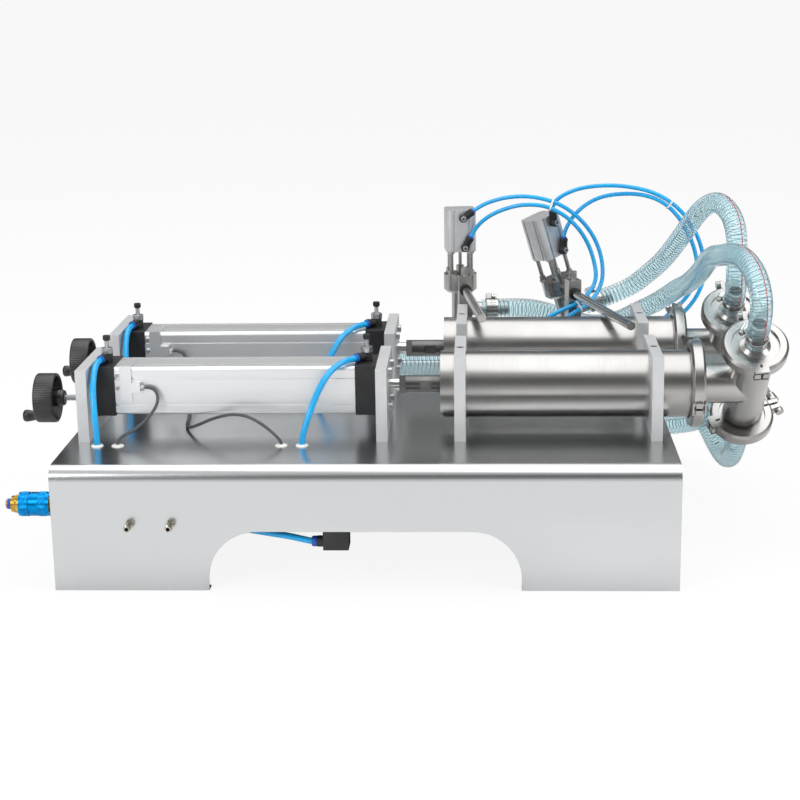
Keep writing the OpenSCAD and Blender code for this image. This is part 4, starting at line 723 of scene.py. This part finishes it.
for lane, across in LANES.items():
    body = lane + "_handwheel"
    wheel = new_piece(body + "_dish", *put(turned(WHEEL, closed=True, knurl=(7, 8, 72, 0.5)),
                                           (WHEEL_X, across, SCREW_Z), to_right),
                      body, wheel_plastic, "black_plastic")
    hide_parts(body)
    angle = math.radians(CRANK_ANGLES[lane])
    pin_y = across + CRANK_RADIUS * math.cos(angle)
    pin_z = SCREW_Z + CRANK_RADIUS * math.sin(angle)
    pin = put(turned([(2.95, -3), (2.95, 19.9), (2.2, 20.3)], 24), (WHEEL_X, pin_y, pin_z), to_left)
    screw = put(thread(8, 2.0, 120), (WHEEL_X + 1, across, SCREW_Z), to_right)
    button = turned([(5.4, -1.0), (6.2, -0.4), (6.2, 2.4), (5.2, 3.2)], 28)
    cap = put(button, (WHEEL_X, across, SCREW_Z), to_left)
    new_piece(body + "_screw", *joined(pin, screw, cap), body, screw_steel, "polished_stainless")
    grip = put(turned(KNOB, 36, closed=True), (WHEEL_X, pin_y, pin_z), to_left)
    knob = new_piece(lane + "_crank_grip", *grip, lane + "_crank_knob", wheel_plastic, "black_plastic")
    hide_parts(lane + "_crank_knob")
print("handwheels turned")

# %% [markdown]
# A worm clamp is a thin steel band with a row of slots. A screw in a pressed housing bites into
# the slots and pulls the band tight. The band is a strip of small faces, and the slots are the
# faces that are left out.
# %% Worm clamps
def worm_clamp(inside):
    """A band along Z's ring with its screw housing on the +X side."""
    sides = 90
    free_of_slots = 12
    thick = 0.8
    rolled_lip = 0.35
    edge = 5
    heights = (-edge, -4.6, -1.9, 1.9, 4.6, edge)
    points, faces = [], []
    for reach in (inside, inside + thick):
        for height in heights:
            lip = rolled_lip if abs(height) == edge and reach > inside else 0
            for side in range(sides):
                angle = 2 * math.pi * side / sides
                points.append(((reach + lip) * math.cos(angle), (reach + lip) * math.sin(angle), height))
    layer = len(heights) * sides
    for row in range(len(heights) - 1):
        for side in range(sides):
            after = (side + 1) % sides
            near_screw = min(side, sides - side) < free_of_slots
            a, b = row * sides + side, row * sides + after
            c, d = b + sides, a + sides
            if row == 2 and side % 3 == 0 and not near_screw:
                for p, q in ((a, b), (b, c), (c, d), (d, a)):
                    faces.append((p + layer, q + layer, q, p))
                continue
            faces.append((a + layer, b + layer, c + layer, d + layer))
            faces.append((d, c, b, a))
    top = (len(heights) - 1) * sides
    for side in range(sides):
        after = (side + 1) % sides
        faces.append((side, after, after + layer, side + layer))
        faces.append((top + side + layer, top + after + layer, top + after, top + side))
    band = (np.array(points), faces)
    across = axes((0, 1, 0), (0, 0, 1))
    screw_out = inside + 4.2
    housing = turned([(3.4, -5.5), (4.3, -5.2), (4.3, 5.2), (3.4, 5.5)], 28)
    housing = put(housing, (screw_out, 0, 0), across)
    foot = turned([(4.2, -4.6), (4.6, -4.4), (4.6, 4.4), (4.2, 4.6)], 6)
    foot = put(foot, (inside + 1.4, 0, 0), across)
    screw = put(thread(6.0, 1.6, 12.6), (screw_out, -6.6, 0), across)
    head = put(nut(6.8, 3.4, 2.0), (screw_out, 6.0, 0), across)
    return joined(band, housing, foot, screw, head)


SLANT = math.radians(40)
CLAMP_TURN = math.radians(150)
FROM_ROUTE_START = 18
clamps = []
for route, way in ((NEAR_OUTLET_ROUTE, 1), (FAR_OUTLET_ROUTE, 1),
                   (NEAR_INLET_ROUTE, -1), (FAR_INLET_ROUTE, -1)):
    out = np.array([0, -math.sin(SLANT), math.cos(SLANT)]) * way
    across = np.array([0, math.cos(SLANT), math.sin(SLANT)])
    to_screw = np.array([math.cos(CLAMP_TURN), 0, 0]) + way * math.sin(CLAMP_TURN) * across
    place = np.array(route[0]) + FROM_ROUTE_START * out
    clamps.append(put(worm_clamp(HOSE_RADIUS + 0.05), place, axes(out, to_screw)))
worm_clamps = new_piece("worm_clamps", *joined(*clamps), "frame", ground_rod, "polished_stainless",
                        smooth=False)
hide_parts("hose_clamps")
print(len(clamps), "worm clamps")

# %% [markdown]
# The two shut-off heads have the same parts, each in its own frame: Z up through the head, Y
# back along the rod that holds it. Their air cylinders have black elbows with blue collets.
# %% Heads
# Its pivot, turn and tilt, the turn of its block, and the directions of its two elbows
HEADS = {
    "head_1": ((110.30, 300.05, 272.0), 6.7, 0.0, 0, (35, 62)),
    "head_2": ((257.14, 298.04, 265.5), 15.7, 16.5, 22, (80, 67)),
}


def turn_about(axis, degrees):
    return np.array(Matrix.Rotation(math.radians(degrees), 3, axis))


FRONT_OF_CYLINDER = -22
CYLINDER_FOOT = 47
ELBOW_LENGTH = 17.2
TIE_ROD_PLACES = [(x, y) for x in (-14.5, 14.5) for y in (-14.5, 14.5)]
SEAM_HEIGHT = 12
TIE_NUT_HEIGHT = 43.8
BARB = (50.5, 0, -43)
FORWARD = axes((0, -1, 0))
ELBOW_PLACES = [(2, 51), (4.5, 7)]
ELBOW = [(3.4, 0), (5.3, 0), (5.5, 0.6), (5.5, 12.6), (5.9, 13.2), (5.9, 16.6), (5.5, ELBOW_LENGTH),
         (3.4, ELBOW_LENGTH)]
SMALL_COLLET = [(3.1, 0), (4.4, 0), (4.7, 0.4), (4.7, 1.4), (4.0, 2.4), (3.1, 2.4)]
STUB = [(4.9, 0.2), (5.4, 0.6), (5.4, 1.6), (4.9, 2.0), (4.9, 3), (5.8, 3.6), (5.8, 9.2), (5.1, 9.8),
        (5.1, 10.8), (4.2, 11.4)]
seam = turned([(5.6, 0), (5.9, 0.3), (5.9, 0.9), (5.6, 1.2)], 28)
for head, (pivot, turn_z, tilt, body_turn, elbow_angles) in HEADS.items():
    to_head = turn_about("Z", turn_z) @ turn_about("Y", -tilt)
    to_block = to_head @ turn_about("Z", body_turn)
    black, blue, steel = [], [], []

    def on_block(shape, place, rows=None):
        return put(put(shape, place, rows), pivot, to_block.T)

    for (x, z), angle in zip(ELBOW_PLACES, elbow_angles):
        foot = np.array([x, FRONT_OF_CYLINDER, CYLINDER_FOOT + z])
        black.append(on_block(turned(STUB, 32), foot, FORWARD))
        arm = (math.cos(math.radians(angle)), 0, math.sin(math.radians(angle)))
        rows = axes(arm, (0, 1, 0))
        start = foot + np.array([0, -6, 0])
        black.append(on_block(turned(ELBOW, 28, closed=True), start, rows))
        mouth = start + ELBOW_LENGTH * np.array(arm)
        blue.append(on_block(turned(SMALL_COLLET, 28, closed=True), mouth, rows))
        steel.append(on_block(nut(7.5, 1.8, 3.2), foot + np.array([0, -11.2, 0]), FORWARD))
    new_piece(head + "_elbows", *joined(*black), head, fitting_plastic, "fitting_plastic")
    new_piece(head + "_collets", *joined(*blue), head, blue_collet, "blue_tube")
    for x, y in TIE_ROD_PLACES:
        steel.append(on_block(seam, (x, y, SEAM_HEIGHT)))
        steel.append(on_block(nut(8.9, 3.0, 5.9), (x, y, TIE_NUT_HEIGHT)))
    new_piece(head + "_tie_nuts", *joined(*steel), head, screw_steel, "stainless", smooth=False)
    to_barb = axes((1, 0, 0), (0, math.sin(CLAMP_TURN), -math.cos(CLAMP_TURN)))
    clamp = put(put(worm_clamp(HOSE_RADIUS + 0.15), BARB, to_barb), pivot, to_head.T)
    new_piece(head + "_worm_clamp", *clamp, head, ground_rod, "polished_stainless", smooth=False)
print("heads dressed")

# %% [markdown]
# The slide valve at the left end has a knurled sleeve, so that wet fingers can pull it, and a
# dark blue collet at its mouth for the supply tube.
# %% Slide valve
LEFT_END = -380
INLET_Y = -235
INLET_Z = 95
UNDER_VALVE_MOUTH = (-58, -268.5, 58)
knurl_ring = turned([(14.4, 0), (15.0, 0), (15.35, 0.5), (15.35, 9.5), (15.0, 10), (14.4, 10)], closed=True,
                    knurl=(2, 3, 48, 0.45))
rings_on_sleeve = [put(knurl_ring, (LEFT_END - 12 - start, INLET_Y, INLET_Z), to_left) for start in (4, 26)]
new_piece("sleeve_knurls", *joined(*rings_on_sleeve), "inlet_sleeve", blue_anodised, "blue_anodised",
          smooth=False)
mouth = turned([(4.2, 0), (6.0, 0), (6.6, 0.6), (6.6, 4.6), (6.0, 6.4), (5.0, 6.9), (4.2, 6.7)], 36,
               closed=True)
for name, place in (("inlet_collet", (LEFT_END - 60.3, INLET_Y, INLET_Z)),
                    ("under_valve_collet", UNDER_VALVE_MOUTH)):
    new_piece(name, *put(mouth, place, to_left), "frame", blue_collet, "blue_anodised")
hexagon = put(nut(21.2, 5.5, 12), (LEFT_END - 50.6, INLET_Y, INLET_Z), to_left)
new_piece("inlet_hexagon", *hexagon, "frame", brass, "brass", smooth=False)
print("slide valve dressed")

# %% [markdown]
# Cable ties hold pairs of air tubes together. A tie is a thin nylon band round both tubes with
# a square lock.
# %% Cable ties
def cable_tie(first, second, station, wide=2.6, thick=0.9):
    """A band round the two tubes of a head, at a share of the first one's length."""
    at = int(station * (len(first) - 1))
    middle_a = first[at]
    near = np.linalg.norm(second - middle_a, axis=1).argmin()
    middle_b = second[near]
    ahead = first[at + 1] - first[at - 1]
    ahead /= np.linalg.norm(ahead)
    apart = middle_b - middle_a
    apart -= (apart @ ahead) * ahead
    gap = np.linalg.norm(apart)
    side = apart / gap
    over = np.cross(ahead, side)
    inside, outside, count = HEAD_TUBE_RADIUS, HEAD_TUBE_RADIUS + thick, 36
    points, faces = [], []
    for step in range(count):
        angle = 2 * math.pi * step / count
        shift = gap if math.cos(angle) > 0 else 0
        out = math.cos(angle) * side + math.sin(angle) * over
        here, there = 4 * step, 4 * ((step + 1) % count)
        for corner, (reach, along) in enumerate(((inside, -wide / 2), (outside, -wide / 2),
                                                 (outside, wide / 2), (inside, wide / 2))):
            after = (corner + 1) % 4
            points.append(middle_a + shift * side + reach * out + along * ahead)
            faces.append((here + corner, here + after, there + after, there + corner))
    lock = put(turned([(2.0, -1.9), (2.6, -1.6), (2.6, 1.6), (2.0, 1.9)], 4),
               middle_a + gap / 2 * side + 5.2 * over, axes(side, ahead + over))
    root = middle_a + gap / 2 * side + 5 * over
    tail = put(turned([(1.2, 0), (1.2, 5.5)], 4), root, axes(over, side + ahead))
    return joined((np.array(points), faces), lock, tail)


TIE_PLACES = [("head_1", 0.28), ("head_2", 0.38), ("head_1", 0.72)]
for number, (head, station) in enumerate(TIE_PLACES, 1):
    routes, foot, top = HEAD_TUBES[head]
    shape = cable_tie(*[smooth_line(route, 2, 1.5) for route in routes], station)
    tie = new_piece("cable_tie_" + str(number), *shape, None, white_plastic, "white_plastic", smooth=False)
    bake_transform(tie)
print(len(TIE_PLACES), "cable ties")

# %% [markdown]
# The sensors clip to the barrels with two small screws, and their leads leave through a nut.
# The rods of the heads run in black bushes, pressed into the blocks on the posts.
# %% Small hardware
SENSOR_FRONT = 31
POSTS_X = (118, 275)
POSTS_Y = 234.5
small = []
for across in LANES.values():
    front = across - SENSOR_FRONT
    for rise in (5, 21):
        small.append(put(turned([(2.6, 0), (2.6, 1.6), (2.1, 2.1), (0.9, 2.1), (0.9, 1.2)], 20),
                         (-320.5, front - 2.6, 213.5 + rise), FORWARD))
    small.append(put(nut(7.5, 4.2, 4.4), (-290.9, front - 4, 219.4), axes((1, 0, 0), (0, 0, 1))))
new_piece("sensor_hardware", *joined(*small), "frame", screw_steel, "nickel", smooth=False)
bushes = []
bush = turned([(6.4, 0), (8.6, 0), (8.6, 0.7), (8.2, 1.1), (6.4, 1.1)], 36, closed=True)
for x, (pivot, turn_z, *_) in zip(POSTS_X, HEADS.values()):
    back = turn_about("Z", turn_z) @ np.array([0, 1, 0])
    middle = np.array([x, POSTS_Y, pivot[2]])
    for way in (-1, 1):
        bushes.append(put(bush, middle + way * 12 * back, axes(way * back, (0, 0, 1))))
new_piece("rod_bushes", *joined(*bushes), "frame", fitting_plastic, "black_rubber")
print("small hardware in place")

# %% [markdown]
# # Finishes of the frame's own parts
# The rigid parts keep their CAD shapes and get the finishes above.
# %% Paint the frame
FINISHES = {
    "base_cover": stainless_sheet, "end_panels": stainless_sheet, "deck_grommets": white_plastic,
    "front_nipples": nickel, "inlet_valve_body": brass, "inlet_sleeve": blue_anodised,
    "control_valves": barrel_aluminium, "under_air_valve": cap_paint, "support_plates": plate_aluminium,
    "plate_screws": screw_steel, "drive_caps": cap_paint, "speed_controllers": fitting_plastic,
    "position_sensors": barrel_aluminium, "hose_caps": satin_steel, "head_posts": satin_steel,
}
LANE_FINISHES = {
    "drive_barrel": barrel_aluminium, "drive_piston": ground_rod, "fill_piston": turned_steel,
    "stop_pad": pad_rubber, "fill_tube": polished_tube, "tee": satin_steel, "clamps": satin_steel,
    "large_wing_nut": satin_steel, "upper_wing_nut": satin_steel, "lower_wing_nut": satin_steel,
}
HEAD_FINISHES = {
    "rod": ground_rod, "nozzle": satin_steel, "cylinder": head_aluminium, "needle": satin_steel,
}
for owners, parts in ((LANES, LANE_FINISHES), (HEADS, HEAD_FINISHES)):
    for owner in owners:
        FINISHES.update({owner + "_" + part: material for part, material in parts.items()})
for name, material in FINISHES.items():
    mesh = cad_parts[name].data
    mesh.materials.clear()
    mesh.materials.append(material)
print(len(FINISHES), "frame parts painted")

# %% [markdown]
# # Studio
# The photograph has a white ground and even light from large soft boxes. The floor is a pale
# diffuse sheet. To the camera, and to light that passes the clear hoses, the world is white and
# the floor glows nearly white, with a tenth of its own shading, which keeps a faint shadow.
# %% Floor
GLOW_SHARE = 0.9
WHITE = (1, 1, 1, 1)


def seen_direct(tree, rays):
    """One for the camera and for light that passes a clear hose, and zero for all else."""
    ends = {0: rays["Is Camera Ray"], 1: rays["Is Transmission Ray"]}
    return add(tree, "Math", ends, operation="MAXIMUM").outputs[0]


floor_material = bpy.data.materials.new("White_paper_floor")
tree = bare_tree(floor_material)
paper_colour = blend_colours(tree, pattern(tree, 900), linear("#F4F4F4"), linear("#F7F7F7"))
paper = add(tree, "BsdfDiffuse", {"Color": paper_colour})
glow = add(tree, "Emission", {"Color": WHITE, "Strength": 1.0})
rays = add(tree, "LightPath").outputs
share = add(tree, "Math", {0: seen_direct(tree, rays), 1: GLOW_SHARE}, operation="MULTIPLY")
both = add(tree, "MixShader", {0: share.outputs[0], 1: paper.outputs[0], 2: glow.outputs[0]})
add(tree, "OutputMaterial", {0: both.outputs[0]})
floor_mesh = bpy.data.meshes.new("floor")
half = 40.0
low = -0.0003
floor_mesh.from_pydata([(-half, -half, low), (half, -half, low), (half, half, low), (-half, half, low)],
                       [], [(0, 1, 2, 3)])
floor_mesh.materials.append(floor_material)
floor = bpy.data.objects.new("floor", floor_mesh)
scene.collection.objects.link(floor)
print("floor", 2 * half, "m wide")

# %% [markdown]
# Metal shows what is around it. A world that is white everywhere would leave the tubes without
# form, so reflections see a studio: light at the level of the eye, a dark wall above it, a light
# ceiling, and the lamps. The camera sees white, and so does light that passes the clear hoses.
# %% World
world = bpy.data.worlds.new("studio")
scene.world = world
tree = bare_tree(world)
direction = add(tree, "TexCoord").outputs["Generated"]
height = add(tree, "SeparateXYZ", {0: direction}).outputs["Z"]
room = add(tree, "ValToRGB", {0: height})
stops = [(0.0, 0.85), (0.05, 0.7), (0.11, 0.34), (0.2, 0.24), (0.5, 0.13), (0.75, 0.66), (1.0, 0.86)]
ramp = room.color_ramp
while len(ramp.elements) < len(stops):
    ramp.elements.new(0.5)
for element, (place, value) in zip(ramp.elements, stops):
    element.position = place
    element.color = (value, value, value, 1)
rays = add(tree, "LightPath").outputs
soft = add(tree, "Background", {"Color": WHITE, "Strength": 0.42})
studio = add(tree, "Background", {"Color": room.outputs[0], "Strength": 1.0})
white = add(tree, "Background", {"Color": WHITE, "Strength": 1.0})
mirrored = add(tree, "MixShader", {0: rays["Is Glossy Ray"], 1: soft.outputs[0], 2: studio.outputs[0]})
views = {0: seen_direct(tree, rays), 1: mirrored.outputs[0], 2: white.outputs[0]}
whole = add(tree, "MixShader", views)
add(tree, "OutputWorld", {0: whole.outputs[0]})
print("world with", len(stops), "stops")

# %% [markdown]
# Three soft boxes: a wide one over the machine, one at the front left, and a weaker one from
# the right. They are large enough to leave soft edges on every shadow.
# %% Lamps
def lamp(name, place, target, width, height, power):
    data = bpy.data.lights.new(name, "AREA")
    data.shape = "RECTANGLE"
    data.size = width
    data.size_y = height
    data.energy = power
    light = bpy.data.objects.new(name, data)
    aim = Vector(target) - Vector(place)
    light.matrix_world = Matrix.Translation(place) @ aim.to_track_quat("-Z", "Y").to_matrix().to_4x4()
    scene.collection.objects.link(light)


lamp("top_box", (0.1, 0.1, 2.4), (0.0, 0.0, 0.2), 4.0, 2.4, 52)
lamp("front_left_box", (-1.7, -2.2, 1.6), (0.0, 0.0, 0.2), 1.2, 1.2, 34)
lamp("right_box", (2.2, -1.2, 1.3), (0.1, 0.0, 0.2), 0.9, 1.4, 16)
print("3 lamps")
